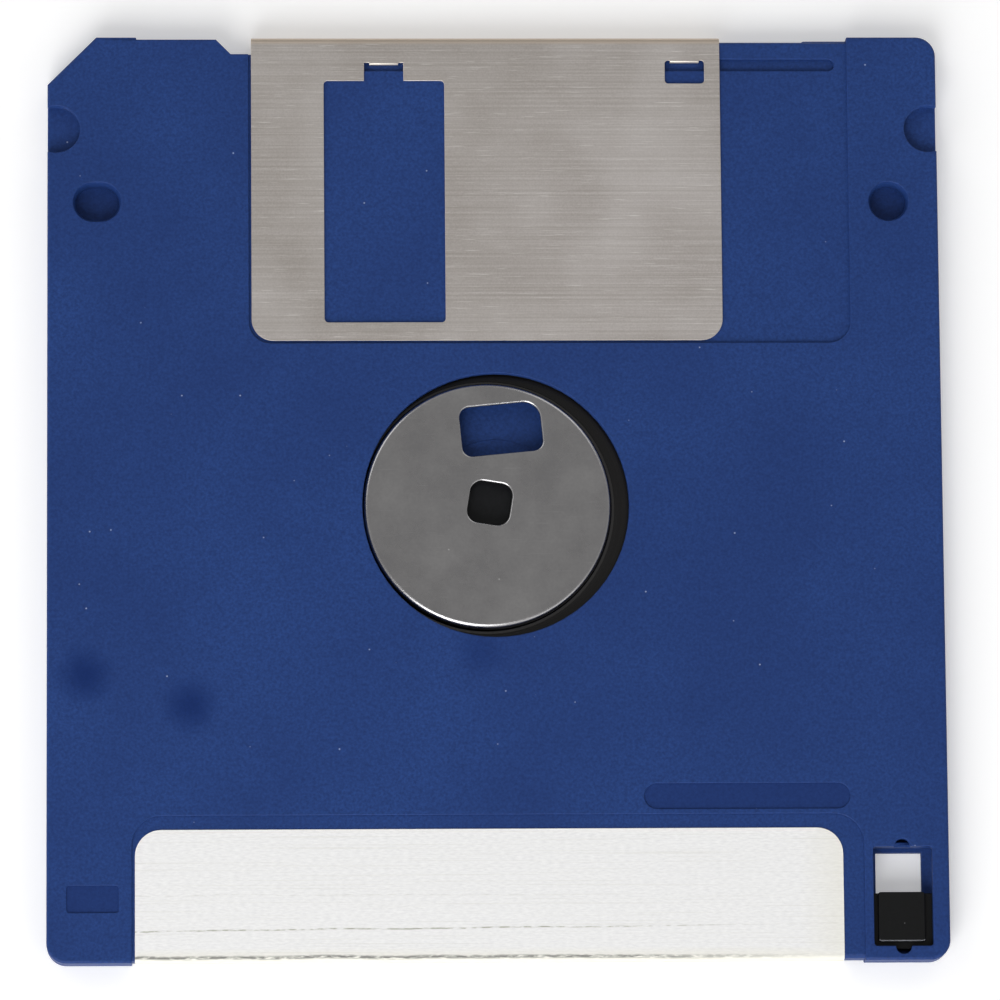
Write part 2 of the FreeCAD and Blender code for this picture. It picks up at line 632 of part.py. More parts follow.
def rear_shell():
    """The half with the hub hole, locating holes, guide groove and slider slot."""
    skin = CAVITY_ROOF
    recess = f"case_thickness - {SHUTTER_RECESS}"
    label_skin = "case_thickness - label_recess_depth"
    body = shell("rear_shell", PARTING, PARTING, skin, recess, label_skin, LABEL_RECESS_TOP, 1)
    inset = "(locating_slot_length / 2 - locating_radius)"

    # Bosses carry the blind holes down to the other half
    boss_height = f"2 * {CAVITY_HEIGHT}"
    sketch = sketch_on(body, "locating_bosses_outline", "plate")
    draw_circle(sketch, LOCATING_X, LOCATING_Y, "locating_radius + locating_boss_wall")
    left = f"-{LOCATING_X} - {inset}"
    right = f"-{LOCATING_X} + {inset}"
    draw_obround(sketch, left, right, LOCATING_Y, "locating_radius + locating_boss_wall")
    raise_solid(body, sketch, boss_height, "locating_bosses")

    hole_low = "case_thickness - locating_depth"
    sketch = sketch_on(body, "locating_holes_outline", hole_low)
    draw_circle(sketch, LOCATING_X, LOCATING_Y, "locating_radius")
    draw_obround(sketch, left, right, LOCATING_Y, "locating_radius")
    cut(body, sketch, "locating_depth", "locating_holes")

    # Each locating hole widens towards its rim
    sketch = sketch_on(body, "locating_leads_outline", "case_thickness - locating_lead_depth")
    draw_circle(sketch, LOCATING_X, LOCATING_Y, "locating_radius")
    draw_obround(sketch, left, right, LOCATING_Y, "locating_radius")
    cut(body, sketch, "locating_lead_depth", "locating_leads", "locating_lead_angle")

    sketch = sketch_on(body, "side_bosses_outline", PARTING)
    middle = f"({HALF_LENGTH} - side_recess_front)"
    reach = "(side_recess_radius + side_recess_wall)"
    inner = f"({HALF_WIDTH} - side_recess_inset - {reach})"
    low = f"{middle} - {reach}"
    high = f"{middle} + {reach}"
    draw_box(sketch, inner, f"{HALF_WIDTH} - wall / 2", low, high)
    draw_box(sketch, f"wall / 2 - {HALF_WIDTH}", f"-{inner}", low, high)
    raise_solid(body, sketch, CAVITY_HEIGHT, "side_bosses")

    sketch = sketch_on(body, "side_recesses_outline", "case_thickness - side_recess_depth")
    draw_circle(sketch, f"{HALF_WIDTH} - side_recess_inset", middle, "side_recess_radius")
    draw_circle(sketch, f"side_recess_inset - {HALF_WIDTH}", middle, "side_recess_radius")
    cut(body, sketch, "side_recess_depth", "side_recesses")

    sketch = sketch_on(body, "hub_hole_outline", skin)
    draw_circle(sketch, "0", HUB_HOLE_Y, "hub_hole_radius")
    cut(body, sketch, "plate", "hub_hole")

    sketch = sketch_on(body, "guide_groove_outline", f"{recess} - groove_depth")
    half = "groove_width / 2"
    draw_obround(sketch, "-groove_left", GROOVE_RIGHT, f"{GROOVE_BACK} - {half}", half)
    cut(body, sketch, "groove_depth", "guide_groove")

    sketch = sketch_on(body, "slider_slot_outline", skin)
    left = f"{SLOT_X} - slot_width / 2"
    right = f"{SLOT_X} + slot_width / 2"
    low = f"{SLOT_Y} - slot_length / 2"
    high = f"{SLOT_Y} + slot_length / 2"
    draw_box(sketch, left, right, low, high, "slot_corner")
    cut(body, sketch, "plate", "slider_slot")

    for end, y, foot in (("rear", low, PARTING), ("front", high, skin)):
        sketch = sketch_on(body, f"{end}_notch_outline", foot)
        draw_circle(sketch, SLOT_X, y, "finger_notch_radius")
        cut(body, sketch, f"case_thickness - {foot}", f"{end}_finger_notch")

    sketch = sketch_on(body, "pill_recess_outline", "case_thickness - recess_depth")
    reach = "(pill_length / 2 - pill_width / 2)"
    middle = f"({HALF_WIDTH} - pill_inset_x)"
    level = f"{LABEL_RECESS_TOP} + pill_above_label"
    draw_obround(sketch, f"{middle} - {reach}", f"{middle} + {reach}", level, "pill_width / 2")
    cut(body, sketch, "recess_depth", "pill_recess")

    sketch = sketch_on(body, "plate_recess_outline", "case_thickness - recess_depth")
    half = "(plate_recess_length / 2)"
    side = "(plate_recess_width / 2)"
    x = f"(plate_recess_inset_x - {HALF_WIDTH})"
    y = f"(plate_recess_inset_y - {HALF_LENGTH})"
    corner = "plate_recess_corner"
    draw_box(sketch, f"{x} - {half}", f"{x} + {half}", f"{y} - {side}", f"{y} + {side}", corner)
    cut(body, sketch, "recess_depth", "plate_recess")

    top = size("case_thickness")
    hub_y = size(HUB_HOLE_Y)
    def hub_rim(edge):
        # The hub hole's edge where it meets the outer face
        middle = edge.BoundBox.Center
        return lies_at(edge, top) and abs(middle.x) < 1 and abs(middle.y - hub_y) < 1

    bevel_edges(body, "hub_hole_bevel", "hub_hole_bevel_edge", hub_rim)


# Shutter

def shutter():
    """One folded sheet: two leaves, the bend over the front edge, two guide tabs and a spring tab."""
    body = new_body("shutter")
    low = "shutter_gap"
    high = "case_thickness - shutter_gap"
    inside = f"{SHUTTER_FRONT} - shutter_sheet"
    inner_bend = "shutter_bend - shutter_sheet"
    sketch = sketch_on(body, "shutter_fold", "-shutter_left", plane="YZ_Plane")
    draw_outline(sketch, [
        (SHUTTER_REAR, low),
        (SHUTTER_FRONT, low, "shutter_bend"),
        (SHUTTER_FRONT, high, "shutter_bend"),
        (SHUTTER_REAR, high),
        (SHUTTER_REAR, f"{high} - shutter_sheet"),
        (inside, f"{high} - shutter_sheet", inner_bend),
        (inside, f"{low} + shutter_sheet", inner_bend),
        (SHUTTER_REAR, f"{low} + shutter_sheet"),
    ])
    raise_solid(body, sketch, f"{SHUTTER_RIGHT} + shutter_left", "shutter_leaves")

    ends = [size("-shutter_left"), size(SHUTTER_RIGHT)]
    rear = size(SHUTTER_REAR)
    round_edges(body, "shutter_corner", "shutter_corners",
                lambda edge: any(stands_at(edge, x, rear) for x in ends))

    half = "head_window_width / 2"
    left = f"-shutter_travel - {half} - shutter_window_left_gap"
    right = f"{half} + shutter_window_right_gap - shutter_travel"
    front = f"({HEAD_WINDOW_FRONT} + shutter_window_front_gap)"
    window_rear = f"{HEAD_WINDOW_REAR} - shutter_window_rear_gap"
    sketch = sketch_on(body, "shutter_window_outline", "0")
    draw_box(sketch, left, right, window_rear, front, "shutter_window_corner")
    cut(body, sketch, "case_thickness", "shutter_window")

    leaf_low = f"{high} - shutter_sheet"
    left_edge = f"({SHUTTER_FRONT} - left_tab_front)"
    right_edge = f"({SHUTTER_FRONT} - right_tab_front)"
    foot = f"{leaf_low} - tab_length"
    tabs = [
        ("left", "(left_tab_place - shutter_left)", left_edge, front, leaf_low, foot, "tab_length"),
        ("right", RIGHT_TAB_X, right_edge, None, leaf_low, foot, "tab_length"),
        ("spring", RIGHT_TAB_X, right_edge, None, low, low, "spring_tab_length"),
    ]
    for side, middle, edge, joined, leaf, foot, length in tabs:
        half = "(tab_width / 2)"
        sketch = sketch_on(body, f"{side}_tab_relief_outline", leaf)
        rear = f"{edge} - tab_relief_length" if joined is None else f"{joined} - shutter_window_corner"
        reach = f"({half} + tab_relief)"
        corner = None if joined else "tab_relief_corner"
        draw_box(sketch, f"{middle} - {reach}", f"{middle} + {reach}", rear, edge, corner)
        cut(body, sketch, "shutter_sheet", f"{side}_tab_relief")
        sketch = sketch_on(body, f"{side}_tab_outline", foot)
        draw_box(sketch, f"{middle} - {half}", f"{middle} + {half}", f"{edge} - shutter_sheet", f"{edge}")
        raise_solid(body, sketch, f"{length} + shutter_sheet", f"{side}_tab")

    tab_edges = [size(f"{edge} - shutter_sheet") for edge in (left_edge, right_edge)]
    top = size(high)
    round_edges(body, "tab_bend_round", "tab_bends",
                lambda edge: lies_at(edge, top) and edge.BoundBox.YLength < 1e-4
                and any(abs(edge.BoundBox.YMin - y) < 1e-3 for y in tab_edges))


def shutter_spring():
    """A torsion spring: two straight legs that run off a short coil, in one round wire."""
    wire = size("spring_wire")
    radius = size("spring_coil_radius")
    depth = size("spring_depth")
    tip_gap = size("spring_tip_gap")
    low = size("plate + spring_height_gap + spring_wire / 2")
    rise = size(f"2 * {CAVITY_HEIGHT} - 2 * spring_height_gap - spring_wire")
    front = size(GROOVE_BACK) - wire
    tab_side = size(f"{RIGHT_TAB_X} + tab_width / 2")
    moving = FreeCAD.Vector(tab_side + tip_gap + wire, front - tip_gap, 0)
    anchor = FreeCAD.Vector(size(ANCHOR_X), front - tip_gap, 0)
    half_span = (anchor.x - moving.x) / 2
    coil = FreeCAD.Vector((anchor.x + moving.x) / 2, moving.y - depth, 0)

    # Where each leg runs off the coil, as an angle about the coil's middle
    lean = math.atan2(moving.y - coil.y, anchor.x - coil.x)
    off = math.acos(radius / math.hypot(half_span, depth))
    start_angle = math.pi - lean + off
    end_angle = lean - off + 2 * math.pi
    swept = end_angle - start_angle + 2 * math.pi * size("spring_turns")
    pitch = rise / (swept / (2 * math.pi))

    helix = Part.makeHelix(pitch, rise, radius)
    helix.rotate(FreeCAD.Vector(0, 0, 0), FreeCAD.Vector(0, 0, 1), math.degrees(start_angle))
    helix.translate(FreeCAD.Vector(coil.x, coil.y, low))
    first = helix.Edges[0].valueAt(helix.Edges[0].FirstParameter)
    last = helix.Edges[-1].valueAt(helix.Edges[-1].LastParameter)
    moving.z = low
    anchor.z = low + rise
    path = Part.Wire([Part.makeLine(moving, first), *helix.Edges, Part.makeLine(last, anchor)])
    section = Part.Wire([Part.makeCircle(wire / 2, moving, first - moving)])
    piece = doc.addObject("Part::Feature", "shutter_spring")
    piece.Shape = path.makePipeShell([section], True, True)
    piece.Label = "shutter_spring"
    piece.Placement = FreeCAD.Placement()


# Disk

def disk_piece(name):
    """A body that sits where the disk floats inside the case."""
    body = new_body(name)
    body.setExpression(".Placement.Base.x", bind("-disk_float"))
    body.setExpression(".Placement.Base.y", bind(f"{HUB_HOLE_Y} - disk_drop"))
    return body


def magnetic_disk():
    """The coated film, with a hole that clears the hub's wall."""
    body = disk_piece("magnetic_disk")
    sketch = sketch_on(body, "film_outline", FILM_LOW)
    draw_circle(sketch, "0", "0", FILM_RADIUS)
    draw_circle(sketch, "0", "0", "hub_radius + film_hole_gap")
    raise_solid(body, sketch, "film_thickness", "film")


def hub_adhesive_ring():
    """The ring of adhesive between the hub's flange and the film."""
    body = disk_piece("hub_adhesive_ring")
    sketch = sketch_on(body, "adhesive_outline", FLANGE_TOP)
    draw_circle(sketch, "0", "0", FLANGE_RADIUS)
    draw_circle(sketch, "0", "0", "hub_radius + film_hole_gap + glue_inset")
    raise_solid(body, sketch, "glue_thickness", "adhesive")


def hub():
    """A pressed dish: flat face, short wall and a flange under the film."""
    body = disk_piece("hub")
    face = "case_thickness - hub_sink"
    inside = "hub_radius - hub_sheet"
    sketch = sketch_on(body, "hub_section", plane="XZ_Plane")
    draw_outline(sketch, [
        ("0", face),
        ("0", f"{face} - hub_sheet"),
        (inside, f"{face} - hub_sheet", "hub_bend - hub_sheet"),
        (inside, f"{FLANGE_TOP} - hub_sheet", "hub_bend"),
        (FLANGE_RADIUS, f"{FLANGE_TOP} - hub_sheet"),
        (FLANGE_RADIUS, FLANGE_TOP),
        ("hub_radius", FLANGE_TOP, "hub_bend - hub_sheet"),
        ("hub_radius", face, "hub_bend"),
    ])
    dish = body.newObject("PartDesign::Revolution", "hub_dish")
    dish.Profile = sketch
    axis = next(item for item in body.Origin.OriginFeatures if item.Role == "Z_Axis")
    dish.ReferenceAxis = (axis, [""])
    dish.Angle = 360
    sketch.Visibility = False
    doc.recompute()

    offset = ("hub_centre_offset", "hub_centre_offset")
    low = f"{face} - hub_sheet - {OUTSIDE}"
    sketch = sketch_on(body, "centre_hole_outline", low, offset, "-hub_centre_turn")
    half = "(hub_centre_hole / 2)"
    draw_box(sketch, f"-{half}", half, f"-{half}", half, "hub_centre_corner")
    cut(body, sketch, f"2 * {OUTSIDE}", "centre_hole")

    place = ("drive_hole_x", "drive_hole_y")
    sketch = sketch_on(body, "drive_hole_outline", low, place, "drive_hole_turn")
    reach = "(drive_hole_length / 2)"
    side = "(drive_hole_width / 2)"
    draw_outline(sketch, [
        (f"-{reach}", f"-{side}", "drive_hole_corner"),
        (reach, f"-{side}", "drive_hole_corner"),
        (reach, side, "drive_hole_wide_corner"),
        (f"-{reach}", side, "drive_hole_corner"),
    ])
    cut(body, sketch, f"2 * {OUTSIDE}", "drive_hole")


# Liners, lifter and wear pad

def liner(name, low, hole_radius):
    """A nonwoven ring inside one shell, open over the head window."""
    body = new_body(name)
    sketch = sketch_on(body, f"{name}_outline", low)
    draw_circle(sketch, "0", HUB_HOLE_Y, f"{RING_RADIUS} - liner_edge_gap")
    draw_circle(sketch, "0", HUB_HOLE_Y, hole_radius)
    raise_solid(body, sketch, "liner_thickness", f"{name}_ring")
    sketch = sketch_on(body, f"{name}_window_outline", low)
    half = "(head_window_width / 2 + liner_window_gap)"
    rear = f"{HEAD_WINDOW_REAR} - liner_window_gap"
    draw_box(sketch, f"-{half}", half, rear, f"{HUB_HOLE_Y} + {RING_RADIUS} + {OUTSIDE}")
    cut(body, sketch, "liner_thickness", f"{name}_window")


def lifter_place():
    """Middle of the lifter, and its turn, which follows the disk's edge."""
    x = "lifter_reach * cos(lifter_angle)"
    y = f"{HUB_HOLE_Y} + lifter_reach * sin(lifter_angle)"
    return (x, y), "lifter_angle - 90"


def liner_lifter():
    """The thin leaf in a pocket of the front shell that lifts the liner to the film."""
    body = new_body("liner_lifter")
    place = lifter_place()
    sketch = sketch_on(body, "lifter_outline", "plate - lifter_pocket_depth", *place)
    reach = "(lifter_length / 2)"
    side = "(lifter_width / 2)"
    draw_box(sketch, f"-{reach}", reach, f"-{side}", side, "lifter_corner")
    raise_solid(body, sketch, "lifter_thickness", "lifter_leaf")


def centre_wear_pad():
    """The slippery disc that the hub's middle runs against."""
    body = new_body("centre_wear_pad")
    sketch = sketch_on(body, "wear_pad_outline", "plate + centre_boss_height")
    draw_circle(sketch, "0", HUB_HOLE_Y, "wear_pad_radius")
    raise_solid(body, sketch, "wear_pad_thickness", "wear_pad_disc")


# Write-protect slider

def write_protect_slider():
    """The slider: a flange kept between the plates, and a grip that shows in the slot."""
    body = new_body("write_protect_slider")
    low = "plate + slider_height_gap"
    reach = "(slot_width / 2 + slider_flange)"
    sketch = sketch_on(body, "slider_outline", low)
    end = f"{SLIDER_LOW_Y} + slider_length"
    draw_box(sketch, f"{SLOT_X} - {reach}", f"{SLOT_X} + {reach}", SLIDER_LOW_Y, end, "slot_corner")
    raise_solid(body, sketch, f"2 * {CAVITY_HEIGHT} - 2 * slider_height_gap", "slider_flange_block")

    grip_low = f"{CAVITY_ROOF} - slider_height_gap"
    half = "(slot_width / 2 - slider_grip_inset)"
    sketch = sketch_on(body, "slider_grip_outline", grip_low)
    left = f"{SLOT_X} - {half} - slider_grip_shift"
    right = f"{SLOT_X} + {half} - slider_grip_shift"
    grip_rear = f"{SLOT_Y} - slot_length / 2 + slider_grip_rear_gap"
    draw_box(sketch, left, right, grip_rear, f"{grip_rear} + slider_grip_length", "slot_corner")
    raise_solid(body, sketch, "plate + slider_height_gap - slider_grip_sink", "slider_grip")
    top = size("case_thickness - slider_grip_sink")
    round_edges(body, "slider_grip_round", "slider_grip_edge", lambda edge: lies_at(edge, top))


# Label

def label():
    """The paper label, folded over the rear end from one face to the other."""
    body = new_body("label")
    rear_top = f"{LABEL_RECESS_TOP} - label_top_margin"
    front_top = f"{LABEL_FRONT_TOP} - label_top_margin"
    low = "label_recess_depth"
    high = "case_thickness - label_recess_depth"
    end = f"label_recess_depth - {HALF_LENGTH}"
    outer_round = "label_edge_round + label_paper"
    left = f"(label_left_margin - {LABEL_RECESS_SIDE})"
    right = f"({LABEL_RECESS_SIDE} - label_right_margin)"
    sketch = sketch_on(body, "label_fold_outline", left, plane="YZ_Plane")
    draw_outline(sketch, [
        (front_top, f"{low} - label_paper"),
        (front_top, low),
        (end, low, "label_edge_round"),
        (end, high, "label_edge_round"),
        (rear_top, high),
        (rear_top, f"{high} + label_paper"),
        (f"{end} - label_paper", f"{high} + label_paper", outer_round),
        (f"{end} - label_paper", f"{low} - label_paper", outer_round),
    ])
    raise_solid(body, sketch, f"{right} - {left}", "label_sheet")
    ends = [size(left), size(right)]
    tops = [size(rear_top), size(front_top)]
    round_edges(body, "label_corner", "label_corners",
                lambda edge: any(stands_at(edge, x, y) for x in ends for y in tops))


front_shell()
rear_shell()
shutter()
shutter_spring()
magnetic_disk()
hub_adhesive_ring()
hub()
liner("front_liner", "plate", "liner_hole_radius")
liner("rear_liner", f"{CAVITY_ROOF} - liner_thickness", "rear_liner_hole_radius")
liner_lifter()
centre_wear_pad()
write_protect_slider()
label()
doc.recompute()

# Every object is sound before anything is written
for item in doc.Objects:
    if "Invalid" in item.State or "Error" in item.State:
        raise RuntimeError(f"{item.Label} failed: {item.State}")
pieces = [item for item in doc.Objects if item.TypeId in ("PartDesign::Body", "Part::Feature")]
for piece in pieces:
    if piece.Shape.isNull() or not piece.Shape.isValid():
        raise RuntimeError(f"{piece.Label} has no valid solid")
    if len(piece.Shape.Solids) != 1:
        raise RuntimeError(f"{piece.Label} is {len(piece.Shape.Solids)} solids")

os.makedirs("parts", exist_ok=True)
for piece in pieces:
    piece.Shape.exportStep(os.path.join("parts", f"{piece.Label}.step"))
    box = piece.Shape.BoundBox
    print(f"{piece.Label}: {box.XLength:.2f} x {box.YLength:.2f} x {box.ZLength:.2f} mm")
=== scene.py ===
# %% [markdown]
# # A 90 mm floppy disk
# The disk lies flat with its hub side up: a blue two-part case, a folded steel shutter on the front edge,
# a pressed steel hub on a thin film, a paper label folded over the rear end and a small black slider.
# The construction model comes in first. It gives every piece its exact place in metres, so the pieces made
# here are measured from it, and the pieces whose shape is already right only get their finish.

# %% Load the construction model
import math
import bmesh
import bpy
from mathutils import Matrix, Vector


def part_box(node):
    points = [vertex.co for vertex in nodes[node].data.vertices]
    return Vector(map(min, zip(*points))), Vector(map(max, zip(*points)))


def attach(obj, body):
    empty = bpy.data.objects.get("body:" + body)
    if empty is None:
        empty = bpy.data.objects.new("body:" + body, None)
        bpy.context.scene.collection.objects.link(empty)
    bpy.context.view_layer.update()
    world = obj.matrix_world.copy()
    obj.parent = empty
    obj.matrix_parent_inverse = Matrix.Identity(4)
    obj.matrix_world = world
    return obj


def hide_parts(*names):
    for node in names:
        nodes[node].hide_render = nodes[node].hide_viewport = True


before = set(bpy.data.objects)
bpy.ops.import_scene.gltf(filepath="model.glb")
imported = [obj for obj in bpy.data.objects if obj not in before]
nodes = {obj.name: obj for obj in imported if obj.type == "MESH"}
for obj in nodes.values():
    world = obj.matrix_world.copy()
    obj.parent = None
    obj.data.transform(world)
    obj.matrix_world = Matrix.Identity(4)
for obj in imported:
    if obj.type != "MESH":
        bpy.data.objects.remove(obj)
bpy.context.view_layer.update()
MM = 0.001
print("nodes:", sorted(nodes))

# %% [markdown]
# ## The camera
# The photograph was taken from almost straight above with a long lens. Its place was found by matching the
# case's corners, holes and shutter to their real sizes, so the same edges fall on the same pixels here.

# %% Camera at the photograph's angle
camera_place = Vector((-26.89, -120.17, 747.15)) * MM
camera_turn = Matrix((
    (0.99934, 0.00232, -0.03622),
    (-0.00804, 0.98730, -0.15867),
    (0.03539, 0.15886, 0.98667),
))
lens = bpy.data.cameras.new("long_lens")
lens.lens = 270.4
lens.sensor_width = 36
lens.clip_end = 10
camera = bpy.data.objects.new("camera", lens)
camera.matrix_world = Matrix.Translation(camera_place) @ camera_turn.to_4x4()
bpy.context.scene.collection.objects.link(camera)
bpy.context.scene.camera = camera
print("camera is", round(camera_place.length, 3), "m from the disk")

# %% [markdown]
# ## Two small helpers for materials
# Every material is a small graph of nodes. One helper turns a colour as it is read off a screen into the
# linear values that Blender works in, and one adds a node with its settings and links in a single call.

# %% Colour and node helpers
def linear(colour):
    """Linear RGBA of an sRGB hex colour."""
    parts = [int(colour[i:i + 2], 16) / 255 for i in (1, 3, 5)]
    return [p / 12.92 if p <= 0.04045 else ((p + 0.055) / 1.055) ** 2.4 for p in parts] + [1.0]


def add(tree, kind, sockets=None, **settings):
    """A node with its settings; each socket, by name or number, gets a value or a link."""
    made = tree.nodes.new(kind)
    for name, value in settings.items():
        setattr(made, name, value)
    for name, value in (sockets or {}).items():
        if isinstance(value, bpy.types.NodeSocket):
            tree.links.new(value, made.inputs[name])
        else:
            made.inputs[name].default_value = value
    return made


def new_finish(name):
    """An empty material, its tree and its surface output."""
    finish = bpy.data.materials.new(name)
    finish.use_nodes = True
    finish.node_tree.nodes.clear()
    tree = finish.node_tree
    return finish, tree, add(tree, "ShaderNodeOutputMaterial")


print("plain blue in linear light:", [round(v, 3) for v in linear("#27407a")])


def per_metre(size_mm):
    """The scale of a pattern whose features are this many millimetres across."""
    return 1 / (size_mm * MM)


# %% [markdown]
# ## Floor and light
# The photograph has a white ground and light from all round, strongest low on the near left: the hub's near rim
# and the far walls of its holes shine, while its flat face, which mirrors what is overhead, stays dark. So large
# soft lamps stand round the disk, and the room is darker overhead than at eye level. Each lamp's power is worked
# out from the share of full light that it gives a flat white sheet. All the shares and the room's own light add
# up to about one.

# %% Plain pale floor
floor_mesh = bpy.data.meshes.new("floor")
floor_mesh.from_pydata([(-3, -3, 0), (3, -3, 0), (3, 3, 0), (-3, 3, 0)], [], [(0, 1, 2, 3)])
floor = bpy.data.objects.new("floor", floor_mesh)
floor_mesh.transform(Matrix.Translation((0, 0, -0.00002)))
bpy.context.scene.collection.objects.link(floor)
floor_finish, tree, output = new_finish("matt_white_card")
ray = add(tree, "ShaderNodeLightPath").outputs
seen = add(tree, "ShaderNodeMath", {0: ray["Is Camera Ray"], 1: ray["Is Glossy Ray"]}, operation="MAXIMUM")
seen = add(tree, "ShaderNodeMath", {0: seen.outputs[0], 1: ray["Is Transmission Ray"]}, operation="MAXIMUM")
glow = add(tree, "ShaderNodeMath", {0: seen.outputs[0], 1: 0.28}, operation="MULTIPLY")
card = add(tree, "ShaderNodeBsdfPrincipled", {
    "Base Color": linear("#f2f2f3"), "Roughness": 0.9, "Specular IOR Level": 0.1,
    "Emission Color": linear("#ffffff"), "Emission Strength": glow.outputs[0],
})
tree.links.new(card.outputs["BSDF"], output.inputs["Surface"])
floor_mesh.materials.append(floor_finish)
print("floor is", floor.dimensions.x, "m wide")

# %% World and soft lamps
bpy.context.scene.view_settings.view_transform = "Standard"
near_side, far_side, overhead = 0.95, 0.36, 0.31
world = bpy.data.worlds.new("soft_room")
world.use_nodes = True
room = world.node_tree
way = add(room, "ShaderNodeTexCoord").outputs["Generated"]
nearness = add(room, "ShaderNodeVectorMath", {0: way, 1: (-0.4, -0.92, 0)}, operation="DOT_PRODUCT").outputs["Value"]
eye_level = add(room, "ShaderNodeMapRange", {
    "Value": nearness, "From Min": -0.7, "From Max": 0.9, "To Min": far_side, "To Max": near_side,
}).outputs["Result"]
height = add(room, "ShaderNodeSeparateXYZ", {"Vector": way}).outputs["Z"]
level = add(room, "ShaderNodeMapRange", {
    "Value": height, "From Min": 0.1, "From Max": 0.85, "To Min": eye_level, "To Max": overhead,
})
background = room.nodes["Background"]
background.inputs["Color"].default_value = linear("#fbfaf8")
room.links.new(level.outputs["Result"], background.inputs["Strength"])
bpy.context.scene.world = world


def soft_lamp(name, place, width, share):
    """A square lamp aimed at the disk that gives it this share of full light."""
    data = bpy.data.lights.new(name, "AREA")
    data.shape = "SQUARE"
    data.size = width
    spot = Vector(place)
    distance = spot.length
    data.energy = share * math.pi ** 2 * distance ** 2 / (spot.z / distance)
    lamp = bpy.data.objects.new(name, data)
    lamp.matrix_world = Matrix.Translation(spot) @ spot.to_track_quat("Z", "Y").to_matrix().to_4x4()
    bpy.context.scene.collection.objects.link(lamp)
    print(name, "power", round(data.energy, 2), "W")


soft_lamp("near_low_lamp", (-0.34, -0.8, 0.36), 0.6, 0.13)
soft_lamp("near_high_lamp", (-0.2, -0.62, 0.75), 0.5, 0.28)
soft_lamp("near_right_lamp", (0.6, -0.7, 0.5), 0.6, 0.03)
soft_lamp("far_left_lamp", (-0.75, 0.6, 0.7), 0.6, 0.06)
soft_lamp("far_right_lamp", (0.55, 0.8, 0.7), 0.6, 0.04)

# %% [markdown]
# ## The case's plastic
# The case is ABS, moulded against steel that was roughened by sparks. That leaves an even, very fine grain which
# breaks the shine into a soft haze. The real grain is about 0.1 mm, finer than a pixel of the picture, so it is
# drawn at 0.28 mm. The colour wanders a little with the grain and over the whole face. Marks are painted by place:
# three soft dark patches, and scattered specks of white dust.

# %% Moulded ABS
def dust_on(tree, place, gap_mm, speck_mm):
    """How much of a speck of dust lies at each place, from 0 to 1."""
    cells = add(tree, "ShaderNodeTexVoronoi", {"Vector": place, "Scale": per_metre(gap_mm)})
    return add(tree, "ShaderNodeMapRange", {
        "Value": cells.outputs["Distance"],
        "From Min": speck_mm / gap_mm, "From Max": speck_mm / gap_mm * 0.4, "To Min": 0, "To Max": 1,
    }).outputs["Result"]


dark_patches = [((-41.2, -18.1, 3.3), 3.8, 0.8), ((-30.7, -21.2, 3.3), 3.7, 0.75), ((-1.7, -15.9, 3.3), 3.4, 0.4)]


def moulded_abs():
    finish, tree, output = new_finish("abs_moulded_on_spark_roughened_steel")
    place = add(tree, "ShaderNodeTexCoord").outputs["Object"]
    grain = add(tree, "ShaderNodeTexNoise", {
        "Vector": place, "Scale": per_metre(0.28), "Detail": 3, "Roughness": 0.65,
    }).outputs["Fac"]
    cloud = add(tree, "ShaderNodeTexNoise", {
        "Vector": place, "Scale": per_metre(18), "Detail": 3, "Roughness": 0.55,
    }).outputs["Fac"]
    fine = add(tree, "ShaderNodeMapRange", {"Value": grain, "From Min": 0.3, "From Max": 0.7})
    colour = add(tree, "ShaderNodeMix", {
        0: fine.outputs["Result"], 6: linear("#20386e"), 7: linear("#2a498b"),
    }, data_type="RGBA").outputs[2]
    wide = add(tree, "ShaderNodeMapRange", {"Value": cloud, "From Min": 0.35, "From Max": 0.65, "To Max": 0.35})
    colour = add(tree, "ShaderNodeMix", {
        0: wide.outputs["Result"], 6: colour, 7: linear("#1a3066"),
    }, data_type="RGBA").outputs[2]
    ragged = add(tree, "ShaderNodeTexNoise", {"Vector": place, "Scale": per_metre(1.6), "Detail": 3}).outputs["Fac"]
    # Three soft, ragged dark patches on the face, each darkest in its middle
    for middle, reach, depth in dark_patches:
        away = add(tree, "ShaderNodeVectorMath", {
            0: place, 1: [v * MM for v in middle],
        }, operation="DISTANCE").outputs["Value"]
        away = add(tree, "ShaderNodeMath", {0: ragged, 1: 1.2 * MM, 2: away}, operation="MULTIPLY_ADD").outputs[0]
        shade = add(tree, "ShaderNodeMapRange", {
            "Value": away, "From Min": (reach + 0.6) * MM, "From Max": 0.8 * MM, "To Min": 0, "To Max": depth,
        }, interpolation_type="SMOOTHSTEP").outputs["Result"]
        colour = add(tree, "ShaderNodeMix", {0: shade, 6: colour, 7: linear("#05245f")}, data_type="RGBA").outputs[2]
    height = add(tree, "ShaderNodeSeparateXYZ", {"Vector": place}).outputs["Z"]
    # The floors of the shallow recesses, just below the face, are painted darker
    sunk = add(tree, "ShaderNodeMath", {0: height, 1: 3.15 * MM, 2: 0.04 * MM}, operation="COMPARE").outputs[0]
    sunk = add(tree, "ShaderNodeMath", {0: sunk, 1: 0.5}, operation="MULTIPLY").outputs[0]
    colour = add(tree, "ShaderNodeMix", {0: sunk, 6: colour, 7: linear("#122a63")}, data_type="RGBA").outputs[2]
    speck = dust_on(tree, place, 3.0, 0.11)
    colour = add(tree, "ShaderNodeMix", {0: speck, 6: colour, 7: linear("#96a2c4")}, data_type="RGBA").outputs[2]
    rough = add(tree, "ShaderNodeMapRange", {"Value": grain, "To Min": 0.4, "To Max": 0.56}).outputs["Result"]
    bump = add(tree, "ShaderNodeBump", {"Height": grain, "Strength": 0.35, "Distance": 0.03 * MM})
    shell = add(tree, "ShaderNodeBsdfPrincipled", {
        "Base Color": colour, "Roughness": rough, "Normal": bump.outputs["Normal"],
        "IOR": 1.53, "Specular IOR Level": 0.16,
    })
    tree.links.new(shell.outputs["BSDF"], output.inputs["Surface"])
    return finish


